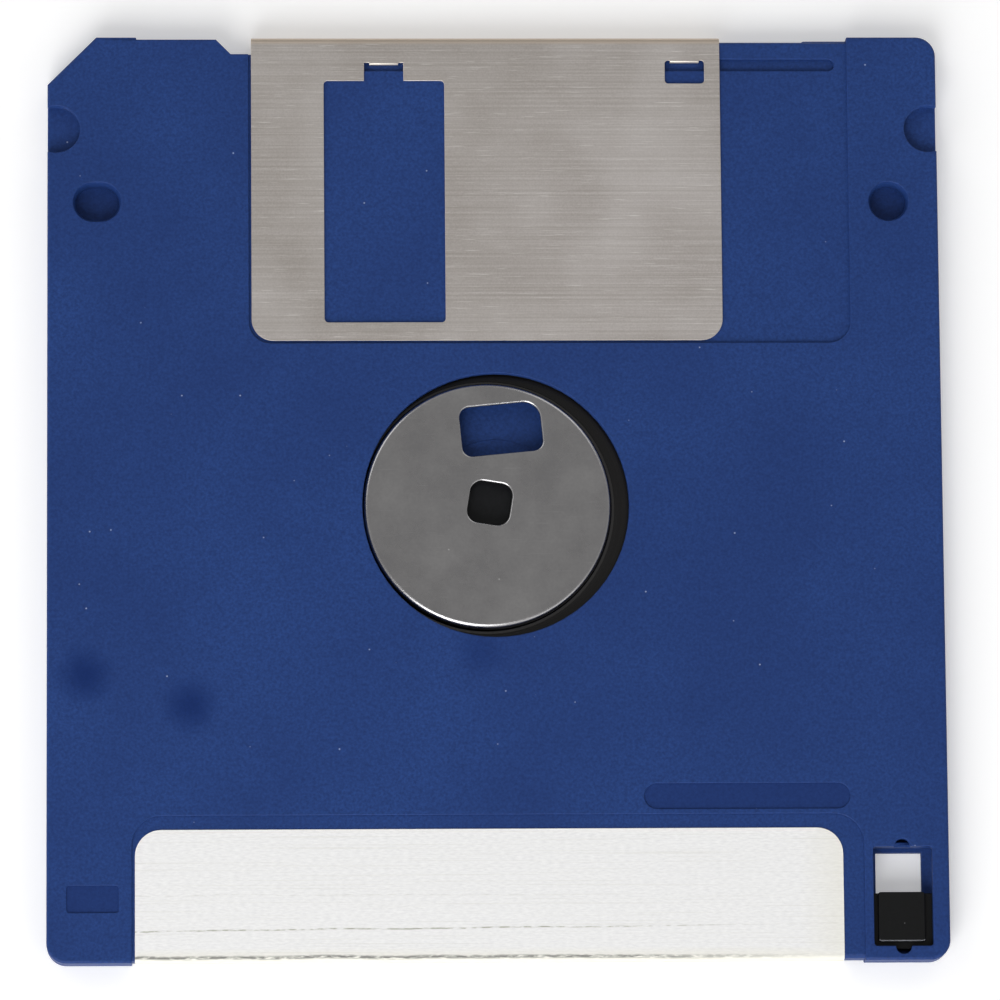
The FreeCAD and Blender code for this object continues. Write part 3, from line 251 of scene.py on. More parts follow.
case_finish = moulded_abs()
print("case finish has", len(case_finish.node_tree.nodes), "nodes")

# %% [markdown]
# ## The shutter's steel
# The shutter is thin stainless sheet, brushed along its length before it was cut and folded. Brushing leaves fine
# parallel scratches: long faint ones that shift between warm and cool grey, and a few short bright ones. Real
# scratches are some hundredths of a millimetre wide, so here the finest are drawn 0.11 mm wide. A soft round
# highlight is painted on the face, and the tabs bent down below it get a painted near-white highlight. The fold
# over the front edge was pressed by a tool, which left it warmer in tone, with two fine dark lines along it.

# %% Brushed stainless sheet
def brushed_stainless():
    finish, tree, output = new_finish("stainless_sheet_brushed_lengthwise")
    place = add(tree, "ShaderNodeTexCoord").outputs["Object"]

    def streaks(long_mm, wide_mm, detail, shift):
        stretched = add(tree, "ShaderNodeMapping", {
            "Vector": place, "Location": (shift, 0, 0),
            "Scale": (per_metre(long_mm), per_metre(wide_mm), per_metre(wide_mm)),
        }).outputs["Vector"]
        return add(tree, "ShaderNodeTexNoise", {"Vector": stretched, "Scale": 1, "Detail": detail}).outputs["Fac"]

    fine = streaks(18, 0.12, 2, 0)
    long = streaks(90, 0.25, 3, 5)
    short = streaks(3, 0.11, 1, 11)
    grain = add(tree, "ShaderNodeTexNoise", {"Vector": place, "Scale": per_metre(0.16), "Detail": 1}).outputs["Fac"]
    cloud = add(tree, "ShaderNodeTexNoise", {"Vector": place, "Scale": per_metre(11), "Detail": 2}).outputs["Fac"]
    brushed = add(tree, "ShaderNodeMath", {0: grain, 1: 0.9, 2: fine}, operation="MULTIPLY_ADD").outputs[0]
    tone = add(tree, "ShaderNodeMapRange", {"Value": brushed, "From Min": 0.6, "From Max": 1.3}).outputs["Result"]
    colour = add(tree, "ShaderNodeMix", {
        0: tone, 6: linear("#c5beb9"), 7: linear("#dcd6d2"),
    }, data_type="RGBA").outputs[2]
    # Painted highlight: a soft round patch of the face is made brighter, as a reflection would
    off = add(tree, "ShaderNodeVectorMath", {0: place, 1: (0.013, 0.025, 0.00325)}, operation="DISTANCE")
    painted_highlight = add(tree, "ShaderNodeMapRange", {
        "Value": off.outputs["Value"], "From Min": 24 * MM, "From Max": 6 * MM, "To Min": 0, "To Max": 0.6,
    }).outputs["Result"]
    bright = add(tree, "ShaderNodeMix", {
        0: tone, 6: linear("#d6cfcc"), 7: linear("#ebe5e3"),
    }, data_type="RGBA").outputs[2]
    colour = add(tree, "ShaderNodeMix", {0: painted_highlight, 6: colour, 7: bright}, data_type="RGBA").outputs[2]
    worn = add(tree, "ShaderNodeMapRange", {"Value": long, "From Min": 0.36, "From Max": 0.64, "To Max": 0.42})
    colour = add(tree, "ShaderNodeMix", {
        0: worn.outputs["Result"], 6: colour, 7: linear("#b2aaa1"),
    }, data_type="RGBA").outputs[2]
    pale = add(tree, "ShaderNodeMapRange", {"Value": cloud, "From Min": 0.4, "From Max": 0.75, "To Max": 0.4})
    colour = add(tree, "ShaderNodeMix", {
        0: pale.outputs["Result"], 6: colour, 7: linear("#e6e3e2"),
    }, data_type="RGBA").outputs[2]
    glint = add(tree, "ShaderNodeMapRange", {
        "Value": short, "From Min": 0.65, "From Max": 0.77, "To Max": 0.6,
    }).outputs["Result"]
    colour = add(tree, "ShaderNodeMix", {0: glint, 6: colour, 7: linear("#fbf8f5")}, data_type="RGBA").outputs[2]
    parts = add(tree, "ShaderNodeSeparateXYZ", {"Vector": place}).outputs
    # Painted highlight: the tabs bent down below the face are made near white, as the light catches their bends
    painted_tab_highlight = add(tree, "ShaderNodeMath", {0: parts["Z"], 1: 2.5 * MM, 2: 0.73 * MM}, operation="COMPARE").outputs[0]
    painted_tab_highlight = add(tree, "ShaderNodeMath", {0: painted_tab_highlight, 1: 0.9}, operation="MULTIPLY").outputs[0]
    colour = add(tree, "ShaderNodeMix", {0: painted_tab_highlight, 6: colour, 7: linear("#fff7ea")}, data_type="RGBA").outputs[2]
    depth = parts["Y"]
    fold = add(tree, "ShaderNodeMapRange", {
        "Value": depth, "From Min": 46.2 * MM, "From Max": 46.45 * MM, "To Max": 0.8,
    }).outputs["Result"]
    colour = add(tree, "ShaderNodeMix", {0: fold, 6: colour, 7: linear("#dccdbd")}, data_type="RGBA").outputs[2]
    for line in (46.62, 46.84):
        off = add(tree, "ShaderNodeMath", {0: depth, 1: line * MM}, operation="SUBTRACT").outputs[0]
        off = add(tree, "ShaderNodeMath", {0: off}, operation="ABSOLUTE").outputs[0]
        mark = add(tree, "ShaderNodeMapRange", {
            "Value": off, "From Min": 0.07 * MM, "From Max": 0.02 * MM, "To Min": 0, "To Max": 0.55,
        }).outputs["Result"]
        colour = add(tree, "ShaderNodeMix", {0: mark, 6: colour, 7: linear("#85766a")}, data_type="RGBA").outputs[2]
    rough = add(tree, "ShaderNodeMapRange", {
        "Value": cloud, "From Min": 0.3, "From Max": 0.7, "To Min": 0.5, "To Max": 0.58,
    }).outputs["Result"]
    bump = add(tree, "ShaderNodeBump", {"Height": fine, "Strength": 0.5, "Distance": 0.02 * MM})
    sheet = add(tree, "ShaderNodeBsdfPrincipled", {
        "Base Color": colour, "Metallic": 1.0, "Roughness": rough, "Normal": bump.outputs["Normal"],
    })
    tree.links.new(sheet.outputs["BSDF"], output.inputs["Surface"])
    return finish


shutter_finish = brushed_stainless()
print("shutter finish has", len(shutter_finish.node_tree.nodes), "nodes")

# %% [markdown]
# ## The hub's steel
# The hub is pressed from plated steel and left smooth, so that it turns true on a spindle. It is satin rather than
# mirror bright, with faint clouds from pressing, hairline scratches in all directions and a little dust. Down by
# the film, in the shaded well round the hub, it is painted darker as shade.

# %% Pressed plated steel
def pressed_steel():
    finish, tree, output = new_finish("plated_steel_pressed_satin")
    place = add(tree, "ShaderNodeTexCoord").outputs["Object"]
    cloud = add(tree, "ShaderNodeTexNoise", {
        "Vector": place, "Scale": per_metre(4), "Detail": 4, "Roughness": 0.6,
    }).outputs["Fac"]
    grain = add(tree, "ShaderNodeTexNoise", {"Vector": place, "Scale": per_metre(0.3), "Detail": 2}).outputs["Fac"]
    tone = add(tree, "ShaderNodeMapRange", {"Value": cloud, "From Min": 0.3, "From Max": 0.7}).outputs["Result"]
    colour = add(tree, "ShaderNodeMix", {
        0: tone, 6: linear("#b0afb1"), 7: linear("#bfbebf"),
    }, data_type="RGBA").outputs[2]
    fleck = add(tree, "ShaderNodeMapRange", {"Value": grain, "From Min": 0.3, "From Max": 0.7, "To Max": 0.25})
    colour = add(tree, "ShaderNodeMix", {
        0: fleck.outputs["Result"], 6: colour, 7: linear("#a3a2a5"),
    }, data_type="RGBA").outputs[2]
    for turn in (0.5, 2.1):
        stretched = add(tree, "ShaderNodeMapping", {
            "Vector": place, "Rotation": (0, 0, turn), "Scale": (per_metre(3), per_metre(0.1), per_metre(0.1)),
        }).outputs["Vector"]
        hair = add(tree, "ShaderNodeTexNoise", {"Vector": stretched, "Scale": 1, "Detail": 0}).outputs["Fac"]
        line = add(tree, "ShaderNodeMapRange", {"Value": hair, "From Min": 0.78, "From Max": 0.86, "To Max": 0.25})
        colour = add(tree, "ShaderNodeMix", {
            0: line.outputs["Result"], 6: colour, 7: linear("#d8d8da"),
        }, data_type="RGBA").outputs[2]
    speck = dust_on(tree, place, 3.4, 0.11)
    colour = add(tree, "ShaderNodeMix", {0: speck, 6: colour, 7: linear("#f2f2f2")}, data_type="RGBA").outputs[2]
    depth = add(tree, "ShaderNodeSeparateXYZ", {"Vector": place}).outputs["Z"]
    # Painted shade: the hub darkens towards the film, down in the well where little light reaches
    painted_well_shade = add(tree, "ShaderNodeMapRange", {
        "Value": depth, "From Min": 2.0 * MM, "From Max": 1.6 * MM, "To Min": 0, "To Max": 0.85,
    }).outputs["Result"]
    colour = add(tree, "ShaderNodeMix", {0: painted_well_shade, 6: colour, 7: linear("#2c2b2a")}, data_type="RGBA").outputs[2]
    rough = add(tree, "ShaderNodeMapRange", {"Value": cloud, "To Min": 0.22, "To Max": 0.34}).outputs["Result"]
    bump = add(tree, "ShaderNodeBump", {"Height": grain, "Strength": 0.12, "Distance": 0.01 * MM})
    face = add(tree, "ShaderNodeBsdfPrincipled", {
        "Base Color": colour, "Metallic": 1.0, "Roughness": rough, "Normal": bump.outputs["Normal"],
    })
    tree.links.new(face.outputs["BSDF"], output.inputs["Surface"])
    return finish


hub_finish = pressed_steel()
print("hub finish has", len(hub_finish.node_tree.nodes), "nodes")

# %% [markdown]
# ## The label's paper
# The label is coated white paper, printed on nothing here. Its fibres run along the label and leave faint level
# bands. Handling has left a dotted pencil-thin dirt line across it, a grey speckled crease where it folds over
# the rear edge, and a yellow tinge along that fold and the right end.

# %% Coated paper
def coated_paper():
    finish, tree, output = new_finish("coated_paper_label")
    place = add(tree, "ShaderNodeTexCoord").outputs["Object"]
    parts = add(tree, "ShaderNodeSeparateXYZ", {"Vector": place}).outputs

    def fibres(long_mm, wide_mm, detail):
        stretched = add(tree, "ShaderNodeMapping", {
            "Vector": place, "Scale": (per_metre(long_mm), per_metre(wide_mm), per_metre(wide_mm)),
        }).outputs["Vector"]
        return add(tree, "ShaderNodeTexNoise", {"Vector": stretched, "Scale": 1, "Detail": detail}).outputs["Fac"]

    bands = fibres(26, 0.16, 2)
    fluff = fibres(0.6, 0.16, 4)
    specks = fibres(0.9, 0.2, 3)
    patches = fibres(9, 9, 2)
    tone = add(tree, "ShaderNodeMapRange", {"Value": fluff, "From Min": 0.3, "From Max": 0.7}).outputs["Result"]
    colour = add(tree, "ShaderNodeMix", {
        0: tone, 6: linear("#f0f0f1"), 7: linear("#ffffff"),
    }, data_type="RGBA").outputs[2]
    level = add(tree, "ShaderNodeMapRange", {"Value": bands, "From Min": 0.56, "From Max": 0.8, "To Max": 0.5})
    colour = add(tree, "ShaderNodeMix", {
        0: level.outputs["Result"], 6: colour, 7: linear("#dddcd4"),
    }, data_type="RGBA").outputs[2]
    right = add(tree, "ShaderNodeMapRange", {
        "Value": parts["X"], "From Min": 30 * MM, "From Max": 35 * MM, "To Max": 0.5,
    }).outputs["Result"]
    low = add(tree, "ShaderNodeMapRange", {
        "Value": parts["Y"], "From Min": -45.5 * MM, "From Max": -47 * MM, "To Min": 0, "To Max": 0.8,
    }).outputs["Result"]
    aged = add(tree, "ShaderNodeMath", {0: right, 1: low}, operation="MAXIMUM").outputs[0]
    colour = add(tree, "ShaderNodeMix", {0: aged, 6: colour, 7: linear("#efecdc")}, data_type="RGBA").outputs[2]

    def dirt_line(colour, level_mm, slope, half_mm, fades_mm, strength, shade, gaps):
        # A line across the label that wanders, is broken into dashes, and fades towards its right end
        bend = add(tree, "ShaderNodeMath", {0: parts["X"], 1: -slope, 2: parts["Y"]}, operation="MULTIPLY_ADD")
        bend = add(tree, "ShaderNodeMath", {0: patches, 1: 0.4 * MM, 2: bend.outputs[0]}, operation="MULTIPLY_ADD")
        off = add(tree, "ShaderNodeMath", {0: bend.outputs[0], 1: level_mm * MM}, operation="SUBTRACT").outputs[0]
        off = add(tree, "ShaderNodeMath", {0: off}, operation="ABSOLUTE").outputs[0]
        near = add(tree, "ShaderNodeMapRange", {
            "Value": off, "From Min": half_mm * MM, "From Max": half_mm * 0.2 * MM, "To Min": 0, "To Max": strength,
        }).outputs["Result"]
        dashes = add(tree, "ShaderNodeMapRange", {
            "Value": specks, "From Min": gaps, "From Max": gaps + 0.22,
        }).outputs["Result"]
        fade = add(tree, "ShaderNodeMapRange", {
            "Value": parts["X"], "From Min": fades_mm * MM, "From Max": (fades_mm + 18) * MM,
            "To Min": 1, "To Max": 0.12,
        }).outputs["Result"]
        near = add(tree, "ShaderNodeMath", {0: near, 1: dashes}, operation="MULTIPLY").outputs[0]
        near = add(tree, "ShaderNodeMath", {0: near, 1: fade}, operation="MULTIPLY").outputs[0]
        return add(tree, "ShaderNodeMix", {0: near, 6: colour, 7: linear(shade)}, data_type="RGBA").outputs[2]

    colour = dirt_line(colour, -43.4, 0.008, 0.1, 8, 0.85, "#94937c", 0.38)
    colour = dirt_line(colour, -40.1, 0.0, 0.08, 0, 0.3, "#b5b4a8", 0.4)
    colour = dirt_line(colour, -46.3, 0.0, 0.26, 14, 0.85, "#5e5f5c", 0.32)
    rough = add(tree, "ShaderNodeMapRange", {"Value": fluff, "To Min": 0.62, "To Max": 0.78}).outputs["Result"]
    bump = add(tree, "ShaderNodeBump", {"Height": fluff, "Strength": 0.25, "Distance": 0.02 * MM})
    paper = add(tree, "ShaderNodeBsdfPrincipled", {
        "Base Color": colour, "Roughness": rough, "Normal": bump.outputs["Normal"], "Specular IOR Level": 0.3,
    })
    tree.links.new(paper.outputs["BSDF"], output.inputs["Surface"])
    return finish


label_finish = coated_paper()
print("label finish has", len(label_finish.node_tree.nodes), "nodes")

# %% [markdown]
# ## The film
# The disk proper is polyester film, coated with a dark brown magnetic layer and polished. It is nearly black and
# glossy. The coating is drawn with very faint rings about the spindle, as the polishing and the heads leave.

# %% Coated and polished film
spindle = Vector((-0.85, -1.05, 0)) * MM


def polished_film():
    finish, tree, output = new_finish("polyester_film_coated_and_polished")
    place = add(tree, "ShaderNodeTexCoord").outputs["Object"]
    parts = add(tree, "ShaderNodeSeparateXYZ", {"Vector": place}).outputs
    flat = add(tree, "ShaderNodeCombineXYZ", {"X": parts["X"], "Y": parts["Y"], "Z": 0.0}).outputs["Vector"]
    radius = add(tree, "ShaderNodeVectorMath", {0: flat, 1: spindle}, operation="DISTANCE").outputs["Value"]
    rings = add(tree, "ShaderNodeTexNoise", {
        "W": radius, "Scale": per_metre(0.4), "Detail": 3,
    }, noise_dimensions="1D").outputs["Fac"]
    cloud = add(tree, "ShaderNodeTexNoise", {"Vector": place, "Scale": per_metre(9), "Detail": 2}).outputs["Fac"]
    colour = add(tree, "ShaderNodeMix", {
        0: rings, 6: linear("#0d0c0d"), 7: linear("#151314"),
    }, data_type="RGBA").outputs[2]
    rough = add(tree, "ShaderNodeMath", {0: rings, 1: 0.14, 2: 0.2}, operation="MULTIPLY_ADD").outputs[0]
    bump = add(tree, "ShaderNodeBump", {"Height": cloud, "Strength": 0.1, "Distance": 0.05 * MM})
    film = add(tree, "ShaderNodeBsdfPrincipled", {
        "Base Color": colour, "Roughness": rough, "Normal": bump.outputs["Normal"], "IOR": 1.6,
        "Specular IOR Level": 0.35,
    })
    tree.links.new(film.outputs["BSDF"], output.inputs["Surface"])
    return finish


film_finish = polished_film()
print("film finish has", len(film_finish.node_tree.nodes), "nodes")

# %% [markdown]
# ## Small plastics, glue, wire and liners
# The slider and the wear pad are black plastics: ABS with the mould's fine grain and a painted highlight along its
# near rim, and a slippery dense polyethylene. The lifter is a milky polyester leaf and the glue a pale film. The
# liners are bonded fibres, laid every way and pressed, so they get three crossing sets of stretched noise. The
# spring is drawn wire, whose fine die lines run along it.

# %% One maker for the plain grained plastics
def grained_plastic(name, dark, light, grain_mm, rough, depth, dust, shine, highlight_rim_mm=None):
    """A moulded or skived plastic with a two-tone grain, a matching bump, a little dust and maybe a painted highlight
    on a rim.
    """
    finish, tree, output = new_finish(name)
    place = add(tree, "ShaderNodeTexCoord").outputs["Object"]
    grain = add(tree, "ShaderNodeTexNoise", {
        "Vector": place, "Scale": per_metre(grain_mm), "Detail": 3, "Roughness": 0.6,
    }).outputs["Fac"]
    colour = add(tree, "ShaderNodeMix", {0: grain, 6: linear(dark), 7: linear(light)}, data_type="RGBA").outputs[2]
    # Painted highlight: a thin light line along one rim, where its rounded edge catches the light
    if highlight_rim_mm:
        off = add(tree, "ShaderNodeVectorMath", {
            0: place, 1: [v * MM for v in highlight_rim_mm],
        }, operation="SUBTRACT").outputs["Vector"]
        parts = add(tree, "ShaderNodeSeparateXYZ", {"Vector": off}).outputs
        rim = add(tree, "ShaderNodeMath", {0: parts["Y"], 1: 0.0, 2: 0.1 * MM}, operation="COMPARE").outputs[0]
        rim = add(tree, "ShaderNodeMath", {0: rim, 1: grain}, operation="MULTIPLY").outputs[0]
        level = add(tree, "ShaderNodeMath", {0: parts["Z"], 1: 0.0, 2: 0.06 * MM}, operation="COMPARE").outputs[0]
        painted_highlight = add(tree, "ShaderNodeMath", {0: rim, 1: level}, operation="MULTIPLY").outputs[0]
        colour = add(tree, "ShaderNodeMix", {0: painted_highlight, 6: colour, 7: linear("#a4a6ad")}, data_type="RGBA").outputs[2]
    speck = dust_on(tree, place, 1.6, 0.05 * dust)
    colour = add(tree, "ShaderNodeMix", {0: speck, 6: colour, 7: linear("#8c8c90")}, data_type="RGBA").outputs[2]
    haze = add(tree, "ShaderNodeMapRange", {"Value": grain, "To Min": rough - 0.06, "To Max": rough + 0.06})
    bump = add(tree, "ShaderNodeBump", {"Height": grain, "Strength": 0.3, "Distance": depth * MM})
    body = add(tree, "ShaderNodeBsdfPrincipled", {
        "Base Color": colour, "Roughness": haze.outputs["Result"], "Normal": bump.outputs["Normal"],
        "IOR": 1.5, "Specular IOR Level": shine,
    })
    tree.links.new(body.outputs["BSDF"], output.inputs["Surface"])
    return finish


near_rim = (0, -45.03, 2.88)
slider_finish = grained_plastic("black_abs_moulded", "#040506", "#0b0c0e", 0.22, 0.42, 0.03, 1.6, 0.3, near_rim)
pad_finish = grained_plastic("black_polyethylene_skived", "#141517", "#222327", 0.5, 0.34, 0.02, 1.0, 0.25)
lifter_finish = grained_plastic("milky_polyester_leaf", "#bdbdb8", "#cfcfca", 0.8, 0.28, 0.01, 0.5, 0.25)
glue_finish = grained_plastic("dried_adhesive_film", "#4b4740", "#5e5a50", 0.6, 0.3, 0.03, 0.5, 0.25)
print("plain plastics:", slider_finish.name, pad_finish.name, lifter_finish.name, glue_finish.name)

# %% Bonded fibre liner and drawn wire
def bonded_fibres():
    finish, tree, output = new_finish("nonwoven_rayon_bonded")
    place = add(tree, "ShaderNodeTexCoord").outputs["Object"]
    layers = []
    for turn in (0.2, 1.3, 2.3):
        stretched = add(tree, "ShaderNodeMapping", {
            "Vector": place, "Rotation": (0, 0, turn), "Scale": (per_metre(2.4), per_metre(0.16), per_metre(0.16)),
        }).outputs["Vector"]
        layers.append(add(tree, "ShaderNodeTexNoise", {
            "Vector": stretched, "Scale": 1, "Detail": 2, "Distortion": 0.6,
        }).outputs["Fac"])
    upper = add(tree, "ShaderNodeMath", {0: layers[0], 1: layers[1]}, operation="MAXIMUM").outputs[0]
    upper = add(tree, "ShaderNodeMath", {0: upper, 1: layers[2]}, operation="MAXIMUM").outputs[0]
    tone = add(tree, "ShaderNodeMapRange", {"Value": upper, "From Min": 0.45, "From Max": 0.75}).outputs["Result"]
    colour = add(tree, "ShaderNodeMix", {
        0: tone, 6: linear("#c3c2bd"), 7: linear("#efeeea"),
    }, data_type="RGBA").outputs[2]
    bump = add(tree, "ShaderNodeBump", {"Height": upper, "Strength": 0.6, "Distance": 0.06 * MM})
    felt = add(tree, "ShaderNodeBsdfPrincipled", {
        "Base Color": colour, "Roughness": 0.9, "Normal": bump.outputs["Normal"],
        "Sheen Weight": 0.3, "Sheen Roughness": 0.5, "Specular IOR Level": 0.2,
    })
    tree.links.new(felt.outputs["BSDF"], output.inputs["Surface"])
    return finish


def drawn_wire():
    finish, tree, output = new_finish("spring_wire_drawn")
    place = add(tree, "ShaderNodeTexCoord").outputs["Object"]
    scale = add(tree, "ShaderNodeTexNoise", {"Vector": place, "Scale": per_metre(0.12), "Detail": 3}).outputs["Fac"]
    colour = add(tree, "ShaderNodeMix", {
        0: scale, 6: linear("#8f8f92"), 7: linear("#c3c3c6"),
    }, data_type="RGBA").outputs[2]
    rough = add(tree, "ShaderNodeMapRange", {"Value": scale, "To Min": 0.22, "To Max": 0.36}).outputs["Result"]
    wire = add(tree, "ShaderNodeBsdfPrincipled", {"Base Color": colour, "Metallic": 1.0, "Roughness": rough})
    tree.links.new(wire.outputs["BSDF"], output.inputs["Surface"])
    return finish


liner_finish = bonded_fibres()
wire_finish = drawn_wire()
print("liner and wire finishes are ready")

# %% [markdown]
# ## Pieces whose shape the construction model already has
# The film, the glue, the liners, the lifter and the wear pad are flat and plain, so the model's own solids stay
# and only take their finish.

# %% Finishes for the pieces that stay
kept = {
    "magnetic_disk": film_finish, "hub_adhesive_ring": glue_finish,
    "front_liner": liner_finish, "rear_liner": liner_finish,
    "liner_lifter": lifter_finish, "centre_wear_pad": pad_finish,
}
for name, finish in kept.items():
    for slot in nodes[name].material_slots:
        slot.material = finish
print("finished in place:", ", ".join(kept))

# %% [markdown]
# ## Case, shutter and slider with real edges
# No moulded or stamped edge is truly sharp, and the thin line of light along it is what makes a part look solid.
# The construction model leaves its small edges sharp, so a copy of each of these pieces is welded, its flat faces
# are joined up, and every outward sharp edge is rounded by a few hundredths of a millimetre.

# %% Welded copies with broken edges
def broken_edges(name, body, finish, edge_mm):
    """A welded copy of a construction piece whose sharp edges are rounded a little."""
    mesh = nodes[name].data.copy()
    mesh.name = f"{name}_finished"
    work = bmesh.new()
    work.from_mesh(mesh)
    bmesh.ops.remove_doubles(work, verts=work.verts, dist=0.0005 * MM)
    bmesh.ops.dissolve_limit(work, angle_limit=math.radians(0.3), verts=work.verts, edges=work.edges)
    sharp = [
        edge for edge in work.edges
        if edge.is_manifold and edge.is_convex and edge.calc_face_angle() > math.radians(52)
    ]
    bmesh.ops.bevel(
        work, geom=sharp, offset=edge_mm * MM, offset_type="OFFSET", segments=2, profile=0.5,
        affect="EDGES", clamp_overlap=False, material=-1,
    )
    low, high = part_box(name)
    for vert in work.verts:
        vert.co = [min(max(v, a), b) for v, a, b in zip(vert.co, low, high)]
    work.to_mesh(mesh)
    work.free()
    mesh.materials.clear()
    mesh.materials.append(finish)
    piece = bpy.data.objects.new(f"{name}_finished", mesh)
    bpy.context.scene.collection.objects.link(piece)
    mesh.shade_smooth()
    mesh.set_sharp_from_angle(angle=math.radians(52))
    even = piece.modifiers.new("even_shading", "WEIGHTED_NORMAL")
    even.keep_sharp = True
    even.weight = 80
    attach(piece, body)
    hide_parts(name)
    print(name, len(sharp), "sharp edges rounded,", len(mesh.polygons), "faces")
    return piece


rear_case = broken_edges("rear_shell", "case", case_finish, 0.09)
front_case = broken_edges("front_shell", "case", case_finish, 0.09)
shutter_sheet = broken_edges("shutter", "shutter", shutter_finish, 0.05)
slider_block = broken_edges("write_protect_slider", "slider", slider_finish, 0.08)

# %% [markdown]
# ## A way to grow a piece from a tree
# Geometry Nodes suit pieces that follow a rule: a hub turned about its axis, wire along a helix, paper over a
# fold. Each tree has named inputs for its sizes. It is run once, and the result is kept as a plain mesh.

# %% Helpers for the trees
def new_tree(name, sizes):
    """A tree with a geometry in and out, and a named input for each size."""
    tree = bpy.data.node_groups.new(name, "GeometryNodeTree")
    tree.interface.new_socket("Geometry", in_out="INPUT", socket_type="NodeSocketGeometry")
    tree.interface.new_socket("Geometry", in_out="OUTPUT", socket_type="NodeSocketGeometry")
    for label, value in sizes.items():
        kind = {tuple: "NodeSocketVector", int: "NodeSocketInt"}.get(type(value), "NodeSocketFloat")
        tree.interface.new_socket(label, in_out="INPUT", socket_type=kind)
    return tree, add(tree, "NodeGroupInput").outputs, add(tree, "NodeGroupOutput")


def grow(name, tree, sizes, start):
    """The plain mesh object that a tree gives from a starting curve or mesh."""
    seed = bpy.data.objects.new(f"{name}_start", start)
    bpy.context.scene.collection.objects.link(seed)
    modifier = seed.modifiers.new(name, "NODES")
    modifier.node_group = tree
    sockets = {item.name: item.identifier for item in tree.interface.items_tree if item.in_out == "INPUT"}
    for label, value in sizes.items():
        modifier[sockets[label]] = value
    grown = bpy.data.meshes.new_from_object(seed.evaluated_get(bpy.context.evaluated_depsgraph_get()))
    grown.name = name
    bpy.data.objects.remove(seed)
    piece = bpy.data.objects.new(name, grown)
    bpy.context.scene.collection.objects.link(piece)
    print(name, len(grown.polygons), "faces")
    return piece


def open_line(name, points, radii, closed):
    """A straight-run curve through points in millimetres; each point's radius is how its corner is rounded."""
    curve = bpy.data.curves.new(name, "CURVE")
    curve.dimensions = "3D"
    spline = curve.splines.new("POLY")
    spline.points.add(len(points) - 1)
    for point, place, radius in zip(spline.points, points, radii):
        point.co = (*(v * MM for v in place), 1)
        point.radius = radius
    spline.use_cyclic_u = closed
    return curve


print("tree helpers are ready")

# %% [markdown]
# ## The hub
# The hub is a shallow dish, pressed from 0.3 mm sheet: a flat face, a rounded rim, a short wall and a flange that
# the film is glued to. The rounded rim is what catches the light all round. A turned shape follows one rule, so
# the tree rounds the corners of a drawn section and carries it round a circle. Two prisms then punch the square
# spindle hole and the drive pin's window, which has one wider corner.

# %% Hub tree
hub_low, hub_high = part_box("hub")
hub_middle = (hub_low + hub_high) / 2
face = hub_high.z / MM
flange = hub_low.z / MM
hub_sizes = {
    "Turn steps": 200, "Bend steps": 9, "Spindle hole": 4.25 * MM, "Spindle corner": 1.2 * MM,
    "Spindle shift": (0.26 * MM, 0.26 * MM, 0.0), "Spindle turn": (0.0, 0.0, math.radians(-9)),
    "Window length": 8.1 * MM, "Window width": 5.0 * MM, "Window corner": 1.0 * MM, "Window wide corner": 1.7 * MM,
    "Window place": (1.45 * MM, 7.8 * MM, 0.0), "Window turn": (0.0, 0.0, math.radians(5.5)),
}
# A section carried round a circle hangs down from it, so its heights are written as depths
hub_section = open_line("hub_section", [
    (0.4, -face, 0), (0.4, 0.3 - face, 0), (12.15, 0.3 - face, 0), (12.15, -flange, 0),
    (15, -flange, 0), (15, -flange - 0.3, 0), (12.45, -flange - 0.3, 0), (12.45, -face, 0),
], [0, 0, 0.2, 0.5, 0, 0, 0.2, 0.5], True)

tree, given, result = new_tree("hub_pressed_dish", hub_sizes)
corner = add(tree, "GeometryNodeInputRadius").outputs[0]
corner = add(tree, "ShaderNodeMath", {0: corner, 1: MM}, operation="MULTIPLY").outputs[0]
section = add(tree, "GeometryNodeFilletCurve", {
    "Curve": given["Geometry"], "Count": given["Bend steps"], "Radius": corner, "Limit Radius": True,
}, mode="POLY").outputs["Curve"]
axis = add(tree, "GeometryNodeCurvePrimitiveCircle", {
    "Resolution": given["Turn steps"], "Radius": 0.000001,
}, mode="RADIUS").outputs["Curve"]
dish = add(tree, "GeometryNodeCurveToMesh", {"Curve": axis, "Profile Curve": section}).outputs["Mesh"]


def punch(width, height, corners, place, turn):
    """A prism that stands through the face, drawn from a rectangle with rounded corners."""
    outline = add(tree, "GeometryNodeCurvePrimitiveQuadrilateral", {"Width": width, "Height": height}).outputs["Curve"]
    outline = add(tree, "GeometryNodeFilletCurve", {
        "Curve": outline, "Count": given["Bend steps"], "Radius": corners,
    }, mode="POLY").outputs["Curve"]
    upright = add(tree, "GeometryNodeCurvePrimitiveLine", {
        "Start": (0, 0, -(face + 1) * MM), "End": (0, 0, (face + 1) * MM),
    }).outputs["Curve"]
    prism = add(tree, "GeometryNodeCurveToMesh", {
        "Curve": upright, "Profile Curve": outline, "Fill Caps": True,
    }).outputs["Mesh"]
    return add(tree, "GeometryNodeTransform", {
        "Geometry": prism, "Translation": place, "Rotation": turn,
    }).outputs["Geometry"]


